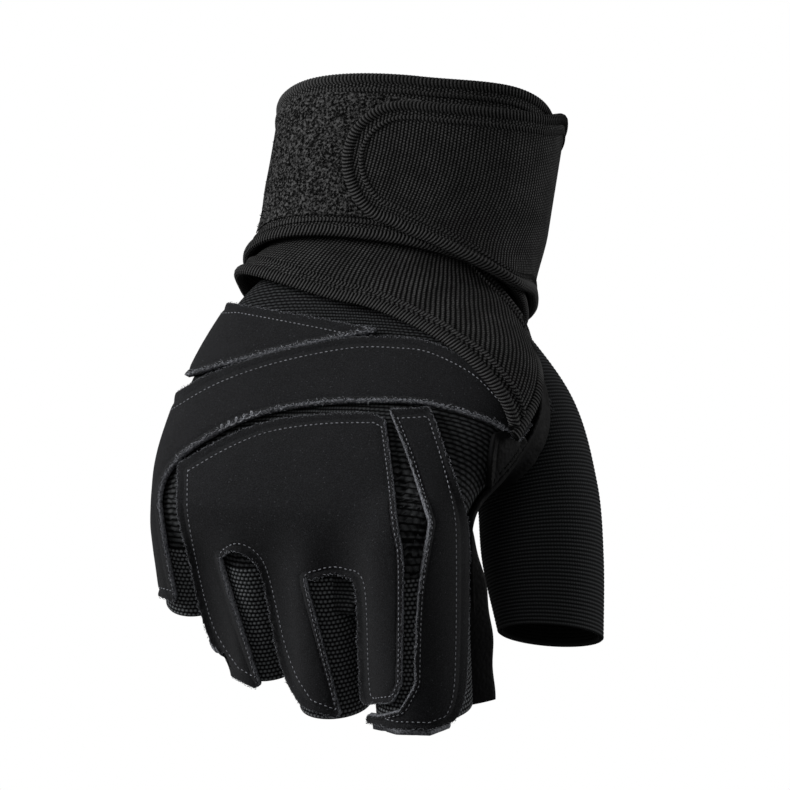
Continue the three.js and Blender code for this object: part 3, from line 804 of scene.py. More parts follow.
def rib_material(name, base, fine, row, groove_shade=0.25, ridge_highlight=2.4, deep=0.15 * MM):
    """Ribs across the piece's UV map with fine threads along them, with painted shade between the ribs and a
    painted highlight on them
    """
    n = Nodes(name)
    u, v = n.split_uv()
    threads = n.math("ADD", 0.7, n.math("MULTIPLY", wave(n, u, fine), 0.3))
    height = n.math("MULTIPLY", wave(n, v, row), threads)
    height = n.math("ADD", height, n.sway(n.noise(n.place(), 0.25 * MM, 3), 0.5))
    # Painted light: the tone follows the rib height, with painted shade in the grooves and a painted
    # highlight on the ribs
    lift = n.math("POWER", n.range(height, 0.3, 1.15), 1.5)
    tone = n.mix(lift, shade(base, groove_shade), shade(base, ridge_highlight))
    n.bump(height, deep)
    return n.finish(tone, 0.92, 0.05)


def suede_material():
    n = Nodes("suede")
    base = colours().suede
    place = n.place()
    nap = n.noise(place, 0.3 * MM, 4, 0.7)
    mottle = n.noise(place, 7 * MM, 4)
    tone = n.mix(n.range(mottle, 0.3, 0.7), shade(base, 0.62), shade(base, 0.85))
    tone = n.mix(n.range(nap, 0.44, 0.66), tone, shade(base, 2.2))
    specks = n.cells(place, 0.9 * MM)
    speck = n.range(specks.outputs["Distance"], 0.20, 0.10)
    few = n.range(n.noise(place, 1.3 * MM, 1), 0.54, 0.60)
    tone = n.mix(n.math("MULTIPLY", n.math("MULTIPLY", speck, few), 0.5), tone, shade(base, 9))
    n.bump(nap, 0.2 * MM)
    return n.finish(tone, 0.9, 0.05, sheen=0.03, sheen_roughness=0.5)


def leather_material():
    n = Nodes("palm_leather")
    base = colours().leather
    place = n.place()
    grain = n.cells(place, 0.9 * MM, "SMOOTH_F1")
    crease = n.noise(place, 3 * MM, 4, 0.6)
    height = n.math("ADD", grain.outputs["Distance"], n.math("MULTIPLY", crease, 0.8))
    tone = n.mix(n.range(crease, 0.3, 0.7), shade(base, 0.6), shade(base, 1.2))
    n.bump(height, 0.15 * MM)
    return n.finish(tone, n.range(crease, 0.3, 0.7, 0.62, 0.78), 0.04)


def strap_material():
    """Fine ribs across the strap, each a row of small dots, with painted shade between them and a painted
    highlight on them
    """
    n = Nodes("elastic_strap")
    base = colours().strap
    rib_pitch, dot_pitch = 0.92 * MM, 0.80 * MM
    u, v = n.split_uv()
    u = n.math("ADD", u, n.sway(n.noise(n.place(), 2.0 * MM, 2), 0.3 * MM))
    dots = wave(n, v, dot_pitch, row_shift(n, u, rib_pitch, 1.1))
    dots = n.math("ADD", 0.45, n.math("MULTIPLY", dots, 0.55))
    height = n.math("MULTIPLY", wave(n, u, rib_pitch), dots)
    height = n.math("ADD", height, n.sway(n.noise(n.place(), 0.22 * MM, 3), 1.3))
    cloud = n.noise(n.place(), 6 * MM, 3)
    # Painted light: the tone follows the height of the ribs and dots, with painted shade in the grooves and a
    # painted highlight on the ribs; the cloud is the strap's own uneven tone
    lift = n.math("POWER", n.range(height, 0.2, 1.15), 2.0)
    lift = n.math("MULTIPLY", lift, n.range(cloud, 0.3, 0.7, 0.75, 1.2))
    tone = n.mix(lift, shade(base, 0.12), shade(base, 9.0))
    n.bump(height, 0.25 * MM)
    return n.finish(tone, 0.95, 0.04)


def pile_material():
    n = Nodes("loop_pile")
    base = colours().strap
    place = n.place()
    tuft = n.noise(place, 0.7 * MM, 3, 0.6)
    # The tone follows the tuft height: the pile's own uneven tone, with painted shade between the tufts and a
    # painted highlight on them
    tone = n.mix(n.range(tuft, 0.45, 0.62), shade(base, 0.15), shade(base, 6.2))
    n.bump(tuft, 0.4 * MM)
    return n.finish(tone, 0.92, 0.05)


def thread_material(name, value, sparkle):
    n = Nodes(name)
    fuzz = n.noise(n.place(), 0.5 * MM, 3)
    tone = n.mix(n.range(fuzz, 0.35, 0.65), shade(value, 1 - sparkle), shade(value, 1 + sparkle))
    return n.finish(tone, 0.85, 0.05)


MATERIALS = {}


def material(name):
    return MATERIALS[name]


def make_materials():
    c = colours()
    row, thumb_row, whip = trim().knit_pitch, trim().thumb_pitch, wrap().rib_pitch
    # The factor pairs 0.1 and 3.6, 0.2 and 11.0, 0.45 and 3.6, and 0.08 and 5.8 scale the base colour into
    # painted shade for the grooves and a painted highlight for the ridges
    MATERIALS.update(
        knit_rows=knit_material("knit_rows", row, 1.3 * MM, 0.45 * MM, 0.1, 3.6, 0.4),
        knit_mesh=knit_material("knit_mesh", row, 1.2 * MM, 0.4 * MM, 0.2, 11.0, 0.7),
        knit_thumb=rib_material("knit_thumb", c.knit, 0.7 * MM, thumb_row, 0.45, 3.6),
        suede=suede_material(),
        leather=leather_material(),
        strap=strap_material(),
        binding=rib_material("ribbed_binding", c.binding, 0.45 * MM, whip, 0.08, 5.8, 0.3 * MM),
        pile=pile_material(),
        thread=thread_material("thread", c.thread, 0.4),
        cut_edge=thread_material("cut_edge", c.cut_edge, 0.7),
        fray=thread_material("fray", c.fray, 0.7),
        hook=rib_material("hook_tape", c.strap, 0.6 * MM, 0.9 * MM),
    )


# The smooth form under every panel

FORM_START = -0.86   # share of the cuff's length above the wrist crease
FORM_RUN_ON = 4 * MM
# How the hand's end is rounded off between the fingers
CROWN_SLOPE, CROWN_START, CROWN_DROP = 4.2, 3.9, 9 * MM
SETTLE_STEPS = 8
CUT_MARGIN = 1.5 * MM
CUT_MERGE = 0.12 * MM
SHORTEST_LINE = 12
BORDER_GAP = 2 * MM
EDGE_FLARE, EDGE_ROUND = 0.35 * MM, 0.8 * MM
GROOVE_DEPTH, GROOVE_WIDTH = 0.22 * MM, 0.55 * MM
FACES_FRONT = -0.28   # the y of a normal under which an edge is seen from the front
PANEL_MARGIN, FRONT_MARGIN = 4 * MM, 2 * MM
RUN_REACH = 2.6 * MM
SEAM_GAP = 6 * MM


def tube_points(section, places, around, offset, squareness=1.0):
    angle = np.arange(around + 1) / around * 2 * math.pi
    parts = section(places)
    spread = tuple(part[:, None] for part in parts)
    return section_point(spread, angle[None, :], np.asarray(offset), squareness)


def hand_distances(step, start=FORM_START, end=1.13):
    """Distances below the upper opening, from a share of the cuff's length to a share of the palm's"""
    form = sizes()
    top = form.cuff_length * (1 + start)
    bottom = form.cuff_length + form.palm_length * end
    return np.linspace(top, bottom, int((bottom - top) / step) + 1)


def finger_places(name):
    """The section function of one finger"""
    return lambda at: finger_section(name, at)


def make_form(voxel, bridge, smoothing):
    """One closed surface over the hand, the fingers and the thumb; a bridge spans the valleys between them"""
    run = FORM_RUN_ON + bridge
    top = FORM_START - run / sizes().cuff_length
    bm = bmesh.new()
    spans = [(hand_section, hand_distances(2.5 * MM, top), 72, sizes().squareness)]
    for name in FINGERS:
        end = 1 + run / FINGER_LENGTHS[name]
        spans.append((finger_places(name), np.linspace(FINGER_SECTIONS[0][0], end, 34), 40, 1.0))
    spans.append((thumb_section, np.linspace(0, 1 + run / sizes().thumb_length, 40), 48, 1.0))
    below_crease = (spans[0][1] - sizes().cuff_length) / sizes().palm_length
    crown = np.clip(below_crease * CROWN_SLOPE - CROWN_START, 0, 1)
    for section, places, around, squareness in spans:
        offset = np.full((len(places), 1), bridge)
        if section is hand_section:
            offset -= CROWN_DROP * (1 - np.sqrt(1 - crown[:, None] ** 2))
        part = grid(tube_points(section, places, around, offset, squareness), close_around=True)
        fill_holes(part)
        mesh = bpy.data.meshes.new("tube")
        part.to_mesh(mesh)
        part.free()
        bm.from_mesh(mesh)
        bpy.data.meshes.remove(mesh)
    form = add_mesh("form", bm)
    remesh = form.modifiers.new("Join", "REMESH")
    remesh.mode = "VOXEL"
    remesh.voxel_size = voxel
    smooth = form.modifiers.new("Smooth", "SMOOTH")
    smooth.factor = 0.5
    smooth.iterations = smoothing
    mesh = finished_mesh(form)
    bpy.data.objects.remove(form)
    settle(mesh, bridge, SETTLE_STEPS)
    return mesh


def settle(mesh, depth, steps):
    """Draws a closed mesh in by a depth, evening it out at each small step"""
    ends = np.empty(len(mesh.edges) * 2, np.int32)
    mesh.edges.foreach_get("vertices", ends)
    first, second = ends.reshape(-1, 2).T
    count = len(mesh.vertices)
    share = 1 / np.maximum(np.bincount(ends, minlength=count), 1)
    for _ in range(steps):
        places, normals = mesh_arrays(mesh)
        places -= normals * depth / steps
        for _ in range(4):
            around = [
                np.bincount(first, places[second, k], count) + np.bincount(second, places[first, k], count)
                for k in range(3)
            ]
            places = (places + np.stack(around, axis=-1) * share[:, None]) / 2
        mesh.vertices.foreach_set("co", places.reshape(-1))
        mesh.update()


def delete_loose(bm):
    bmesh.ops.delete(bm, geom=[v for v in bm.verts if not v.link_faces], context="VERTS")


def cut_sheet(mesh, depth, rise, name, *materials):
    """The part of the form where depth is over nothing, cut along its edge, and raised along its normals"""
    places, normals = mesh_arrays(mesh)
    depths = depth(places)
    quads = np.empty(len(mesh.loops), np.int32)
    mesh.loops.foreach_get("vertex_index", quads)
    quads = quads.reshape(-1, 4)
    quads = quads[depths[quads].max(axis=1) > -CUT_MARGIN]
    used, quads = np.unique(quads, return_inverse=True)
    bm = bmesh.new()
    store = bm.verts.layers.float.new("depth")
    lift = bm.verts.layers.float_vector.new("out")
    verts = []
    for index in used:
        vert = bm.verts.new(places[index])
        vert[store] = depths[index]
        vert[lift] = normals[index]
        verts.append(vert)
    for corners in quads.reshape(-1, 4):
        bm.faces.new([verts[i] for i in corners])
    crossing = [e for e in bm.edges if (e.verts[0][store] > 0) != (e.verts[1][store] > 0)]
    on_edge = []
    for edge in crossing:
        first, second = edge.verts
        a, b = first[store], second[store]
        share = min(max(a / (a - b), 0.02), 0.98)
        out = first[lift] * (1 - share) + second[lift] * share
        _, vert = bmesh.utils.edge_split(edge, first, share)
        vert[store] = 0.0
        vert[lift] = out
        on_edge.append(vert)
    bmesh.ops.connect_verts(bm, verts=on_edge)
    gone = [f for f in bm.faces if sum(v[store] for v in f.verts) <= 0]
    bmesh.ops.delete(bm, geom=gone, context="FACES")
    bmesh.ops.remove_doubles(bm, verts=bm.verts, dist=CUT_MERGE)
    delete_loose(bm)
    for vert in bm.verts:
        out = Vector(vert[lift])
        vert.co = vert.co + out.normalized() * rise(vert[store])
    bm.verts.layers.float.remove(store)
    bm.verts.layers.float_vector.remove(bm.verts.layers.float_vector["out"])
    borders = border_lines(bm)
    return add_mesh(name, bm, *materials), borders


def border_lines(bm):
    """The free edges of a sheet as closed rows of places and normals"""
    bm.normal_update()
    beside = {}
    for edge in bm.edges:
        if edge.is_boundary:
            first, second = edge.verts
            beside.setdefault(first, []).append(second)
            beside.setdefault(second, []).append(first)
    lines = []
    left = dict.fromkeys(beside)
    while left:
        vert = next(iter(left))
        del left[vert]
        row = [vert]
        while True:
            onward = [v for v in beside[vert] if v in left]
            if not onward:
                break
            vert = onward[0]
            del left[vert]
            row.append(vert)
        if len(row) > SHORTEST_LINE:
            if (row[0].co - row[-1].co).length < BORDER_GAP:
                row.append(row[0])
            lines.append(np.array([[*v.co, *v.normal] for v in row]))
    return lines


def panel(mesh, name, outline, reach):
    """A suede panel: its edge stands a little proud, and its stitch line is drawn in"""
    form, trims = sizes(), trim()
    line = outline_points(outline)
    box_low, box_high = line.min(axis=0) - PANEL_MARGIN, line.max(axis=0) + PANEL_MARGIN

    def depth(places):
        view = seen(places)
        near = np.all((view > box_low) & (view < box_high), axis=1)
        front = front_depth(places) - reach
        near &= front > -FRONT_MARGIN
        out = np.full(len(places), -1.0)
        out[near] = np.minimum(outline_depth(view[near], line), front[near])
        return out

    def rise(inside):
        groove = math.exp(-((inside - trims.stitch_inset) / GROOVE_WIDTH) ** 2)
        edge = math.exp(-(inside / EDGE_ROUND) ** 2)
        return form.clearance + edge * EDGE_FLARE - groove * GROOVE_DEPTH

    piece, borders = cut_sheet(mesh, depth, rise, name, material("suede"), material("cut_edge"))
    thicken(piece, form.panel_thickness, 1, rim=1)
    edges = []
    for border in borders:
        even = resample(border, OUTLINE_STEP)
        even_out(even, 3)
        even[:, 3:] = unit(even[:, 3:])
        even[:, :3] += even[:, 3:] * form.panel_thickness
        edges.extend(stretches_of(even, even[:, 4] < FACES_FRONT))
    apply_modifiers(piece)
    return piece, line, edges


def stretches_of(rows, chosen):
    """The unbroken stretches of chosen rows"""
    changes = np.flatnonzero(np.diff(np.concatenate([[False], chosen, [False]]).astype(int)))
    return [rows[start:end] for start, end in zip(changes[::2], changes[1::2]) if end - start > SHORTEST_LINE]


def thread_loops(name, stretches, across, count, size):
    """A few loose loops of thread hanging from a lower edge, round a place across the hand"""
    rng = np.random.default_rng(3)
    centre = knuckle_centre()[0] + across * sizes().hand_breadth
    row = np.vstack(stretches)
    row = row[np.abs(row[:, 0] - centre) < 5 * MM]
    turn = np.linspace(0, 2 * math.pi * count, 16 * count)
    step = np.linspace(0, len(row) - 1, len(turn))
    both = np.stack([np.interp(step, np.arange(len(row)), values) for values in row.T], axis=-1)
    places, normals = both[:, :3], unit(both[:, 3:])
    along, _, out = frames_along(places, normals)
    wide = size * (0.75 + 0.25 * rng.random(len(turn)))[:, None]
    upright = np.array([0, 0, 1])
    places = places + along * np.cos(turn)[:, None] * wide * 0.9 + upright * np.sin(turn)[:, None] * wide
    thread_radius = 0.16 * MM
    bm = rope(places + out * 0.25 * MM, out, thread_radius, thread_radius, 6)
    add_piece(add_mesh(name, bm, material("fray")), "suede")


def part_of(edges, run):
    """The stretches of edges that are seen close to one run of an outline"""
    stretches = []
    for edge in edges:
        away = np.linalg.norm(seen(edge[:, :3])[:, None] - run[None], axis=-1).min(axis=1)
        stretches.extend(stretches_of(edge, away < RUN_REACH))
    return stretches


def surface_line(piece, line, inset):
    """Stretches of a closed outline, drawn in by an inset and laid on a piece as they are seen"""
    tree = BVHTree.FromObject(piece, bpy.context.evaluated_depsgraph_get())
    following = np.roll(line, -1, axis=0) - np.roll(line, 1, axis=0)
    side = np.stack([-following[:, 1], following[:, 0]], axis=-1)
    side = side / np.linalg.norm(side, axis=1, keepdims=True)
    turn = np.sum(line[:, 0] * np.roll(line[:, 1], -1) - np.roll(line[:, 0], -1) * line[:, 1])
    moved = line + side * inset * (1 if turn > 0 else -1)
    kept = outline_depth(moved, line) > inset * 0.93
    stretches, current = [], []
    for point, keep in zip(moved, kept):
        hit = None
        if keep:
            way = Vector((point[0] - VIEW_POINT[0], VIEW_DISTANCE, point[1] - VIEW_POINT[2])).normalized()
            place, normal, _, _ = tree.ray_cast(Vector(VIEW_POINT), way)
            if place is not None and normal.dot(way) < -0.12:
                hit = (np.array(place), np.array(normal))
        if hit is not None and current and np.linalg.norm(hit[0] - current[-1][0]) > SEAM_GAP:
            stretches.append(current)
            current = []
        if hit is not None:
            current.append(hit)
        elif keep and current:
            stretches.append(current)
            current = []
    if current:
        stretches.append(current)
    if len(stretches) > 1 and np.linalg.norm(stretches[0][0][0] - stretches[-1][-1][0]) < SEAM_GAP:
        stretches[0] = stretches.pop() + stretches[0]
    lines = []
    for stretch in stretches:
        if len(stretch) < 8:
            continue
        both = np.array([np.concatenate(pair) for pair in stretch])
        even_out(both, 4)
        lines.append(both)
    return lines


def sew(name, lines, step, source, colour_name, one):
    """Copies of a small mesh at steps along lines; one gives the place, the axes and the sizes of a copy"""
    random.seed(name)
    rows = []
    for both in lines:
        even = resample(both, step)
        points, normals = even[:, :3], unit(even[:, 3:])
        if len(points) < 3:
            continue
        for here in zip(points, *frames_along(points, normals)):
            rows.append(one(*here))
    piece = copies(name, source, *zip(*rows), material(colour_name))
    add_piece(piece, "suede")


def stitches(name, lines):
    """A dashed seam along lines of places and normals"""
    trims = trim()

    def stitch(point, along, side, out):
        along = unit(along + side * random.uniform(-0.12, 0.12))
        long = trims.stitch_length * random.uniform(0.85, 1.1)
        return (point + out * trims.stitch_width * 0.2, [along, np.cross(out, along), out],
                [long, trims.stitch_width, trims.stitch_width])

    sew(name, lines, trims.stitch_pitch, capsule(6, 4), "thread", stitch)


def fibres(name, lines, per_metre, reach, thickness, colour_name="cut_edge", spread=0.3 * MM):
    """Short loose fibres along cut edges"""

    def fibre(point, along, side, out):
        way = along * random.gauss(0, 1) + side * random.gauss(0, 0.6) + out * random.gauss(0.2, 0.5)
        way = unit(way)
        across = unit(np.cross(way, out + 0.01 * side))
        point = point + side * random.gauss(0, spread * 0.6) + out * random.gauss(0, spread * 0.5)
        return (point, [way, across, np.cross(way, across)],
                [reach * random.uniform(0.5, 1.4), thickness, thickness])

    sew(name, lines, 1 / per_metre, capsule(3, 2), colour_name, fibre)


# Knit and leather pieces

FINGER_START, THUMB_START = 0.22, 0.02   # where the sleeves start, as shares of the finger and the thumb
FINGER_CUT, THUMB_CUT = 0.42, 0.35       # where the knit over the hand ends in them
CUT_REACH = 0.12
KNIT_DRAW_IN = 0.25 * MM
UV_JUMP = 50 * MM
PALM_START = 0.12
PALM_BEHIND = 5 * MM
TIP_REACH = 21 * MM
LEATHER_STEP = 6 * MM


def knit_sleeve(name, node, section, start, whole, row, per_row, around, ribs, colour_name):
    """A knit sleeve, open at both ends, with a UV map in metres: round it, and along it"""
    rows = int((1 - start) * whole / row)
    places = np.linspace(start, 1.0, rows * per_row + 1)
    along = np.linspace(0, rows * row, len(places))
    offset = (ridge(along / row) - 1) * ribs
    points = tube_points(section, places, around, offset[:, None])
    girth = np.linalg.norm(np.diff(points, axis=1), axis=2).sum(axis=1).mean()
    u = np.broadcast_to(np.linspace(0, girth, around + 1), points.shape[:2])
    v = np.broadcast_to(along[:, None], points.shape[:2])
    bm = grid(points, np.stack([u, v], axis=-1), close_around=True)
    middle = Vector(section(0.5)[0])
    turn_outward(bm, lambda place: middle)
    piece = add_mesh(name, bm, material(colour_name))
    thicken(piece, sizes().knit_wall, -1)
    add_piece(piece, "knit", node)


def knit_sleeves():
    """The four finger sleeves and the thumb sleeve"""
    trims = trim()
    for name, whole in FINGER_LENGTHS.items():
        knit_sleeve(f"{name}_finger_knit", f"{name}_sleeve", finger_places(name), FINGER_START, whole,
                    trims.knit_pitch, 3, 72, 0.22 * MM, "knit_mesh")
    knit_sleeve("thumb_knit", "thumb_sleeve", thumb_section, THUMB_START, sizes().thumb_length,
                trims.thumb_pitch, 4, 96, 0.32 * MM, "knit_thumb")


def hand_uvs(places):
    """Distance round the hand and along it for places on the form"""
    distances = np.linspace(-5 * MM, 150 * MM, 160)
    centre, down, width, back, _, _ = hand_section(distances)
    u = np.empty(len(places))
    v = np.empty(len(places))
    girth = (sizes().hand_breadth + sizes().hand_thickness) / 4
    for low in range(0, len(places), BATCH):
        part = places[low:low + BATCH, None] - centre[None]
        along = np.sum(part * down[None], axis=-1)
        away = np.linalg.norm(part, axis=-1)
        best = np.argmin(np.abs(along) + 0.12 * away, axis=1)
        row = np.arange(len(best))
        v[low:low + BATCH] = distances[best] + along[row, best]
        x = np.sum(part[row, best] * width[best], axis=-1)
        y = np.sum(part[row, best] * back[best], axis=-1)
        u[low:low + BATCH] = np.arctan2(-x, y) * girth
    return np.stack([u, v], axis=-1)


def knit_hand(form_mesh):
    """The knit over the hand, cut open at the wrist, the fingers and the thumb"""
    bm = bmesh.new()
    bm.from_mesh(form_mesh)
    bm.faces.ensure_lookup_table()
    middles = np.array([face.calc_center_median() for face in bm.faces])
    tubes = [(hand_section, hand_distances(4 * MM, end=1.05), None)]
    tubes += [(finger_places(name), np.linspace(-0.1, 1.15, 50), FINGER_CUT) for name in FINGERS]
    tubes.append((thumb_section, np.linspace(0.1, 1.1, 50), THUMB_CUT))
    nearest = np.full(len(middles), np.inf)
    place = np.zeros(len(middles))
    which = np.zeros(len(middles), int)
    for index, (section, at, _) in enumerate(tubes):
        away = np.linalg.norm(middles[:, None] - section(at)[0][None], axis=-1)
        best = away.argmin(axis=1)
        least = away[np.arange(len(best)), best]
        closer = least < nearest
        nearest[closer], place[closer], which[closer] = least[closer], at[best[closer]], index
    cuts = [(hand_section(hand_distances(1 * MM)[0]), -1, which == 0)]
    for index, (section, _, limit) in enumerate(tubes):
        if limit is not None:
            cuts.append((section(limit), 1, (which == index) & (place > limit - CUT_REACH)))
    faces = list(bm.faces)
    for section, way, mask in cuts:
        parts = dict.fromkeys(faces[i] for i in np.flatnonzero(mask) if faces[i].is_valid)
        for face in list(parts):
            parts.update(dict.fromkeys(face.edges))
            parts.update(dict.fromkeys(face.verts))
        bmesh.ops.bisect_plane(bm, geom=list(parts), plane_co=Vector(section[0]),
                               plane_no=Vector(section[1]) * way, clear_outer=True)
    delete_loose(bm)
    layer = bm.loops.layers.uv.new("UVMap")
    bm.verts.index_update()
    uvs = hand_uvs(np.array([v.co for v in bm.verts]))
    for face in bm.faces:
        us = [uvs[loop.vert.index][0] for loop in face.loops]
        if max(us) - min(us) > UV_JUMP:
            continue
        for loop in face.loops:
            loop[layer].uv = uvs[loop.vert.index]
    for vert in bm.verts:
        vert.co = vert.co - vert.normal * KNIT_DRAW_IN
    piece = add_mesh("knit_back", bm, material("knit_rows"))
    thicken(piece, sizes().knit_wall * 0.6, -1)
    add_piece(piece, "knit", "hand_knit")


def palm_leather(form_mesh):
    """The leather palm with the undersides of the fingers"""
    form = sizes()
    crease = crease_centre()
    palm = downward(*PALM)
    thumb_places = thumb_section(np.linspace(0, 1.2, 36))
    first = form.palm_length * PALM_START
    tip_cut = [finger_section(name, 0.97) for name in FINGERS] + [thumb_section(0.8)]

    def depth(places):
        behind = -front_depth(places) - PALM_BEHIND
        start = (places - crease) @ palm - first
        away = np.linalg.norm(places[:, None] - thumb_places[0][None], axis=-1)
        radii = thumb_places[4][None] + 1.5 * MM
        off_thumb = (away - radii).min(axis=1)
        before_end = np.full(len(places), 1.0)
        for section in tip_cut:
            past = (places - section[0]) @ section[1]
            near = np.linalg.norm(places - section[0] - np.outer(past, section[1]), axis=1) < TIP_REACH
            before_end = np.where(near & (past > -LEATHER_STEP), np.minimum(before_end, -past), before_end)
        return np.minimum.reduce([behind, start, off_thumb, before_end])

    def rise(inside):
        return form.clearance + 0.2 * MM * math.exp(-(inside / (1.0 * MM)) ** 2)

    piece, _ = cut_sheet(form_mesh, depth, rise, "palm_leather", material("leather"), material("cut_edge"))
    thicken(piece, form.leather_thickness, 1)
    add_piece(piece, "palm_leather", "palm_panel")


def leather_flap():
    """The palm leather's edge, standing out along the thumb side of the index finger"""
    down = np.linspace(-0.02, 1.0, 60)
    out = np.linspace(0, 1, 10)
    section = finger_section("index", down)
    spread = tuple(part[:, None] for part in section)
    angle = (-34 - 10 * out[None]) * DEGREES + 0 * down[:, None]
    width = 5.4 * MM * np.sin(np.clip(down * 1.4, 0, 1) * math.pi / 2) + 1.2 * MM
    wave_out = 0.25 * MM * np.sin(down * 21)
    offset = out[None] * width[:, None] + (out[None] ** 2) * wave_out[:, None] - 1.2 * MM
    points = section_point(spread, angle, offset, 1.0)
    bm = grid(points)
    piece = add_mesh("palm_leather_edge", bm, material("leather"), material("cut_edge"))
    thicken(piece, sizes().leather_thickness, 0, rim=1)
    add_piece(piece, "palm_leather")


# Wrist wrap

PER_RIB = 4   # rows of points to one whip stitch
BEAD_HEIGHT = 1.1 * MM
TAPE_HEIGHT = 1.6 * MM
TAPE_AHEAD = 4.6   # degrees from the tape to the strap's start
# From and to in degrees, upper and lower as shares of the strap width
LOOP_PATCH = (430, 525, 0.24, 0.96)
HOOK_PATCH = (765, 822, 0.46, 0.72)
LOOP_COUNT = 3600


def strap_steps(turn, distance, offset):
    """Steps on the strap of one degree round the wrist and of one metre down it"""
    across = strap_point(turn + 0.5, distance, offset) - strap_point(turn - 0.5, distance, offset)
    lower, upper = distance + 0.5 * MM, distance - 0.5 * MM
    down = (strap_point(turn, lower, offset) - strap_point(turn, upper, offset)) / MM
    return across, down


def strap_normals(turn, distance, offset, points):
    """Directions out of the strap, away from the middle of the wrist"""
    normals = unit(np.cross(*strap_steps(turn, distance, offset)))
    return normals * np.sign(dot(normals, points - hand_section(distance)[0]))


def edge_line(name, turn, move):
    """Distances of the strap's lower or upper edge below the upper opening, moved square to the edge"""
    width = wrap().strap_width
    distance = column(STRAP_TABLE, name, turn) * width
    rise = (column(STRAP_TABLE, name, turn + 1) - column(STRAP_TABLE, name, turn - 1)) * width / 2
    across, down = strap_steps(turn, distance, strap_offset(turn))
    spacing = np.linalg.norm(down, axis=-1)
    slope = rise * spacing / np.linalg.norm(across, axis=-1)
    return distance + move / spacing * np.hypot(1, slope)


def tab_length():
    """Length of strap for one degree round the wrist at the tab"""
    turn = np.array([float(STRAP_END)])
    return float(np.linalg.norm(strap_steps(turn, wrap().strap_width / 2, strap_offset(turn))[0]))


def strap_edge(turn, inset):
    turn = np.asarray(turn, float)
    lower = edge_line("lower", turn, -inset)
    upper = edge_line("upper", turn, inset)
    reach = wrap().tab_round - inset
    into = 1 - ((STRAP_END - turn) * tab_length() - inset) / reach
    rounding = np.where(into > 0, np.sqrt(np.maximum(1 - np.maximum(into, 0) ** 2, 0)), 1)
    middle, half = (lower + upper) / 2, (lower - upper) / 2 * rounding
    return middle + half, middle - half


def strap_turns(inset, step):
    """Turns along the strap, closer together round its end"""
    reach = (wrap().tab_round - inset) / tab_length()
    start = STRAP_END - inset / tab_length() - reach
    round_end = start + reach * np.sin(np.linspace(0, 90, 40) * DEGREES)
    return np.concatenate([np.arange(STRAP_START, start - step / 2, step), round_end])


def strap_sheet(turns, lower, upper, offset, columns):
    """Points of a sheet on the strap, with a UV map in metres along it and across it"""
    share = np.linspace(0, 1, columns)
    distance = lower[:, None] + (upper - lower)[:, None] * share[None]
    points = strap_point(turns[:, None], distance, offset[:, None])
    middle = strap_point(turns, wrap().strap_width * 0.6 + 0 * turns, offset)
    u = np.broadcast_to(distances_along(middle)[:, None], distance.shape)
    return points, np.stack([u, distance], axis=-1)


def strap_piece(name, turns, lower, upper, offset, columns, colour_name, thickness, side, slot, node):
    """A sheet on the strap; side 0 thickens it both ways, 1 away from the wrist and -1 towards it"""
    bm = grid(*strap_sheet(turns, lower, upper, offset, columns))
    arm = Vector(downward(*ARM))
    turn_outward(bm, lambda place: arm * place.dot(arm))
    piece = add_mesh(name, bm, material(colour_name))
    thicken(piece, thickness, side)
    add_piece(piece, slot, node)


def make_strap():
    inset = wrap().binding_width * 0.55
    turns = strap_turns(inset, 2.0)
    lower, upper = strap_edge(turns, inset)
    strap_piece("elastic_strap", turns, lower, upper, strap_offset(turns), 28, "strap",
                wrap().strap_thickness, 0, "elastic_strap", "wrist_wrap")


def strap_edge_line(inset, lift, step):
    """Points and outward normals along the strap's edge, round its end and back, at equal steps"""
    turns = strap_turns(inset, 1.0)
    lower, upper = strap_edge(turns, inset)
    route = np.concatenate([
        np.stack([turns, lower / MM], axis=-1),
        np.stack([turns, upper / MM], axis=-1)[::-1][1:],
    ])
    points = strap_point(route[:, 0], route[:, 1] * MM, strap_offset(route[:, 0]) + lift)
    along = distances_along(points)
    keep = np.concatenate([[True], np.diff(along) > SAME_PLACE])
    places = np.arange(0, along[-1], step)
    turn = np.interp(places, along[keep], route[keep, 0])
    distance = np.interp(places, along[keep], route[keep, 1]) * MM
    offset = strap_offset(turn)
    points = strap_point(turn, distance, offset)
    normals = strap_normals(turn, distance, offset, points)
    even_out(points, 3)
    return points + normals * lift, normals


def whip_ribs(count, per_rib, slant, height):
    """Growth of a cord for slanting ribs, for each row and angle"""
    rows = np.arange(count)[:, None] / per_rib

    def growth(angle):
        return (ridge(rows + slant * np.sin(angle)[None]) - 1) * height
    return growth


def ribbed_cord(name, points, normals, width, height, sides, slant, deep, *nodes, lean=0.0):
    """A cord with whip ribs; lean slants its pattern"""
    ribs = whip_ribs(len(points), PER_RIB, slant, deep)
    bm = rope(points, normals, width / 2, height / 2, sides, ribs, lean)
    add_piece(add_mesh(name, bm, material("binding")), "ribbed_binding", *nodes)


def make_binding():
    """The rolled edge, and the raised seam beside it"""
    wraps = wrap()
    step = wraps.rib_pitch / PER_RIB
    points, normals = strap_edge_line(wraps.binding_width / 2, 0.1 * MM, step)
    ribbed_cord("strap_binding", points, normals, wraps.binding_width, wraps.binding_thickness, 12,
                0.9, 0.35 * MM, "wrap_binding", lean=0.9)
    points, normals = strap_edge_line(wraps.bead_inset, wraps.strap_thickness / 2, step)
    ribbed_cord("strap_seam_bead", points, normals, wraps.bead_width, BEAD_HEIGHT, 8, 0.5, 0.3 * MM, lean=0.5)


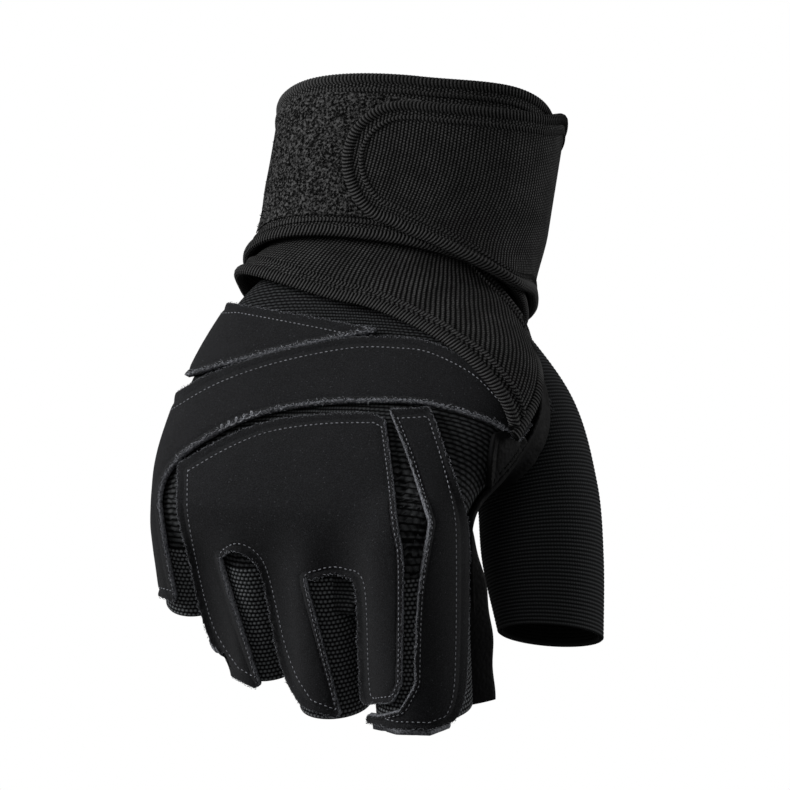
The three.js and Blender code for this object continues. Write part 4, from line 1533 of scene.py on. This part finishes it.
def make_seam_tape():
    start = np.array([STRAP_START])
    distance = np.linspace(edge_line("upper", start, 0)[0], edge_line("lower", start, 0)[0], 200)
    turn = np.full(len(distance), STRAP_START - TAPE_AHEAD)
    offset = np.full(len(distance), wrap().strap_seat)
    points = strap_point(turn, distance, offset)
    ribbed_cord("strap_seam_tape", points, strap_normals(turn, distance, offset, points), wrap().seam_width,
                TAPE_HEIGHT, 10, 0.2, 0.3 * MM, "wrap_seam")


def patch_base(name, patch, rows, columns, lift, colour_name, thickness, side, slot, node):
    start, end, upper, lower = patch
    turns = np.linspace(start, end, rows)
    across = np.ones(rows)
    width = wrap().strap_width
    strap_piece(name, turns, across * lower * width, across * upper * width, strap_offset(turns) + lift,
                columns, colour_name, thickness, side, slot, node)


def make_patches():
    """The fuzzy loop patch and the plain hook patch under the tab"""
    half = wrap().strap_thickness / 2
    patch_base("loop_patch_base", LOOP_PATCH, 48, 40, half + 0.15 * MM, "pile", 0.25 * MM, 1,
               "loop_pile", "loop_patch")
    make_loops(half + 0.4 * MM)
    patch_base("hook_tape_patch", HOOK_PATCH, 20, 12, -half - 0.3 * MM, "hook", 0.45 * MM, -1,
               "hook_tape", "hook_patch")


def make_loops(lift):
    """Short curls of thread all over the loop patch"""
    start, end, upper, lower = LOOP_PATCH
    rng = np.random.default_rng(7)
    turn = rng.uniform(start + 1, end - 1, LOOP_COUNT)
    distance = rng.uniform(upper + 0.015, lower - 0.015, LOOP_COUNT) * wrap().strap_width
    offset = strap_offset(turn) + lift
    places = strap_point(turn, distance, offset)
    out = strap_normals(turn, distance, offset, places)
    way = unit(rng.normal(size=(LOOP_COUNT, 3)))
    way = unit(way - out * dot(way, out) * 0.6)
    side = unit(np.cross(out, way))
    axes = np.stack([way, side, np.cross(way, side)], axis=1)
    long = rng.uniform(0.7, 1.5, LOOP_COUNT) * MM
    thick = rng.uniform(0.22, 0.34, LOOP_COUNT) * MM
    stretch = np.stack([long, thick, thick], axis=1)
    add_piece(copies("loop_pile", capsule(4, 3), places, axes, stretch, material("pile")), "loop_pile")


# Stage

GLOW = 0.27   # strength of the white surroundings for every ray but the camera's
SENSOR_WIDTH = 36
PICTURE_WIDTH = 209.35 * MM
AIM = Vector((-0.01, -0.03, -0.08))
# name, place, size, power
LIGHTS = (
    ("key", (-1.35, -0.38, 0.52), 0.6, 33.0),
    ("front", (-0.35, -1.30, 0.40), 0.6, 2.5),
    ("rim", (1.05, 0.25, 0.10), 0.5, 8.0),
)


def make_stage():
    scene = bpy.context.scene
    scene.view_settings.view_transform = "Standard"
    world = bpy.data.worlds.new("studio")
    scene.world = world
    world.use_nodes = True
    tree = world.node_tree
    tree.nodes["Background"].inputs[0].default_value = (1, 1, 1, 1)
    rays = tree.nodes.new("ShaderNodeLightPath")
    strength = tree.nodes.new("ShaderNodeMapRange")
    strength.inputs["To Min"].default_value = GLOW
    tree.links.new(rays.outputs["Is Camera Ray"], strength.inputs["Value"])
    tree.links.new(strength.outputs[0], tree.nodes["Background"].inputs[1])
    for name, place, size, power in LIGHTS:
        data = bpy.data.lights.new(name, "AREA")
        data.size = size
        data.energy = power
        lamp = add_object(name, data)
        lamp.location = place
        lamp.rotation_euler = (AIM - Vector(place)).to_track_quat("-Z", "Y").to_euler()
    data = bpy.data.cameras.new("camera")
    data.sensor_width = SENSOR_WIDTH
    data.lens = SENSOR_WIDTH * VIEW_DISTANCE / PICTURE_WIDTH
    data.clip_end = 50
    camera = add_object("camera", data)
    camera.location = VIEW_POINT
    camera.rotation_euler = (90 * DEGREES, 0, 0)
    scene.camera = camera


# Operators

# Name, node, outline, where it ends in front of the middle of the hand, and the runs that are frayed
PANELS = (
    ("suede_wedge", "wedge_panel", WEDGE_OUTLINE, -4.5 * MM, (2,)),
    ("suede_band", "band_panel", BAND_OUTLINE, -4.5 * MM, (1,)),
    ("suede_knuckles", "knuckle_panel", KNUCKLE_OUTLINE, 0.0, ()),
    ("suede_index_side", "index_side_panel", SIDE_OUTLINE, -4 * MM, (0, 1)),
    ("web_patch", "thumb_web_patch", WEB_OUTLINE, -4 * MM, ()),
)
# Fibres to a metre, their length, and how far they lie apart
LOWER_FRAY = (8000, 1.0 * MM, 0.6 * MM)
SIDE_FRAY = (5000, 0.7 * MM, 0.35 * MM)


class GLOVE_OT_stage(bpy.types.Operator):
    """Adds the white surroundings, the lights and the camera"""

    bl_idname = "glove.stage"
    bl_label = "Stage"

    def execute(self, context):
        make_stage()
        return {"FINISHED"}


class GLOVE_OT_knit(bpy.types.Operator):
    """Adds the knit back, the leather palm, the finger sleeves and the thumb sleeve"""

    bl_idname = "glove.knit"
    bl_label = "Knit"

    def execute(self, context):
        mesh = make_form(1.12 * MM, bridge=5 * MM, smoothing=26)
        knit_hand(mesh)
        palm_leather(mesh)
        leather_flap()
        knit_sleeves()
        bpy.data.meshes.remove(mesh)
        return {"FINISHED"}


class GLOVE_OT_panels(bpy.types.Operator):
    """Adds the suede panels on the back, with their stitches and cut edges"""

    bl_idname = "glove.panels"
    bl_label = "Panels"

    def execute(self, context):
        mesh = make_form(0.75 * MM, bridge=7 * MM, smoothing=60)
        for name, node, outline, reach, frayed_runs in PANELS:
            piece, line, edges = panel(mesh, name, outline, reach)
            if name == "web_patch":
                piece.data.materials[0] = material("leather")
                piece.data.materials[1] = material("leather")
                add_piece(piece, "palm_leather", node)
                continue
            add_piece(piece, "suede", node)
            stitches(f"{name}_stitches", surface_line(piece, line, trim().stitch_inset))
            fibres(f"{name}_cut_edge", edges, 5500, 0.75 * MM, 0.16 * MM)
            fray = SIDE_FRAY if name == "suede_index_side" else LOWER_FRAY
            for index in frayed_runs:
                run = resample(spline(run_points(outline[index])[:8], 8), OUTLINE_STEP)
                stretches = part_of(edges, run)
                per_metre, reach, spread = fray
                fibres(f"{name}_overlock_{index}", stretches, per_metre, reach, 0.17 * MM, "fray", spread)
                if name == "suede_band":
                    thread_loops("loose_thread", stretches, -0.195, 5, 0.85 * MM)
        bpy.data.meshes.remove(mesh)
        return {"FINISHED"}


class GLOVE_OT_wrap(bpy.types.Operator):
    """Adds the wrist wrap with its ribbed binding, seam tape and patches"""

    bl_idname = "glove.wrap"
    bl_label = "Wrist wrap"

    def execute(self, context):
        make_strap()
        make_binding()
        make_seam_tape()
        make_patches()
        return {"FINISHED"}


class GLOVE_PT_panel(bpy.types.Panel):
    """Lists the glove's operators and sizes"""

    bl_label = "Glove"
    bl_idname = "GLOVE_PT_panel"
    bl_space_type = "VIEW_3D"
    bl_region_type = "UI"
    bl_category = "Glove"

    def draw(self, context):
        layout = self.layout
        for operator in OPERATORS:
            layout.operator(operator.bl_idname)
        for group in (sizes(), wrap(), trim(), colours()):
            box = layout.box()
            for name in group.bl_rna.properties.keys():
                if name not in ("rna_type", "name"):
                    box.prop(group, name)


OPERATORS = (GLOVE_OT_stage, GLOVE_OT_knit, GLOVE_OT_panels, GLOVE_OT_wrap)
CLASSES = FORMS + OPERATORS + (GLOVE_PT_panel,)


def register():
    for each in CLASSES:
        bpy.utils.register_class(each)
    bpy.types.Scene.glove_form = PointerProperty(type=GloveForm)
    bpy.types.Scene.glove_wrap = PointerProperty(type=WrapForm)
    bpy.types.Scene.glove_trim = PointerProperty(type=GloveTrim)
    bpy.types.Scene.glove_colours = PointerProperty(type=GloveColours)


def unregister():
    del bpy.types.Scene.glove_form
    del bpy.types.Scene.glove_wrap
    del bpy.types.Scene.glove_trim
    del bpy.types.Scene.glove_colours
    for each in reversed(CLASSES):
        bpy.utils.unregister_class(each)


def main():
    register()
    make_materials()
    bpy.ops.glove.stage()
    bpy.ops.glove.knit()
    bpy.ops.glove.panels()
    bpy.ops.glove.wrap()
    bpy.context.view_layer.update()


if __name__ == "__main__":
    main()
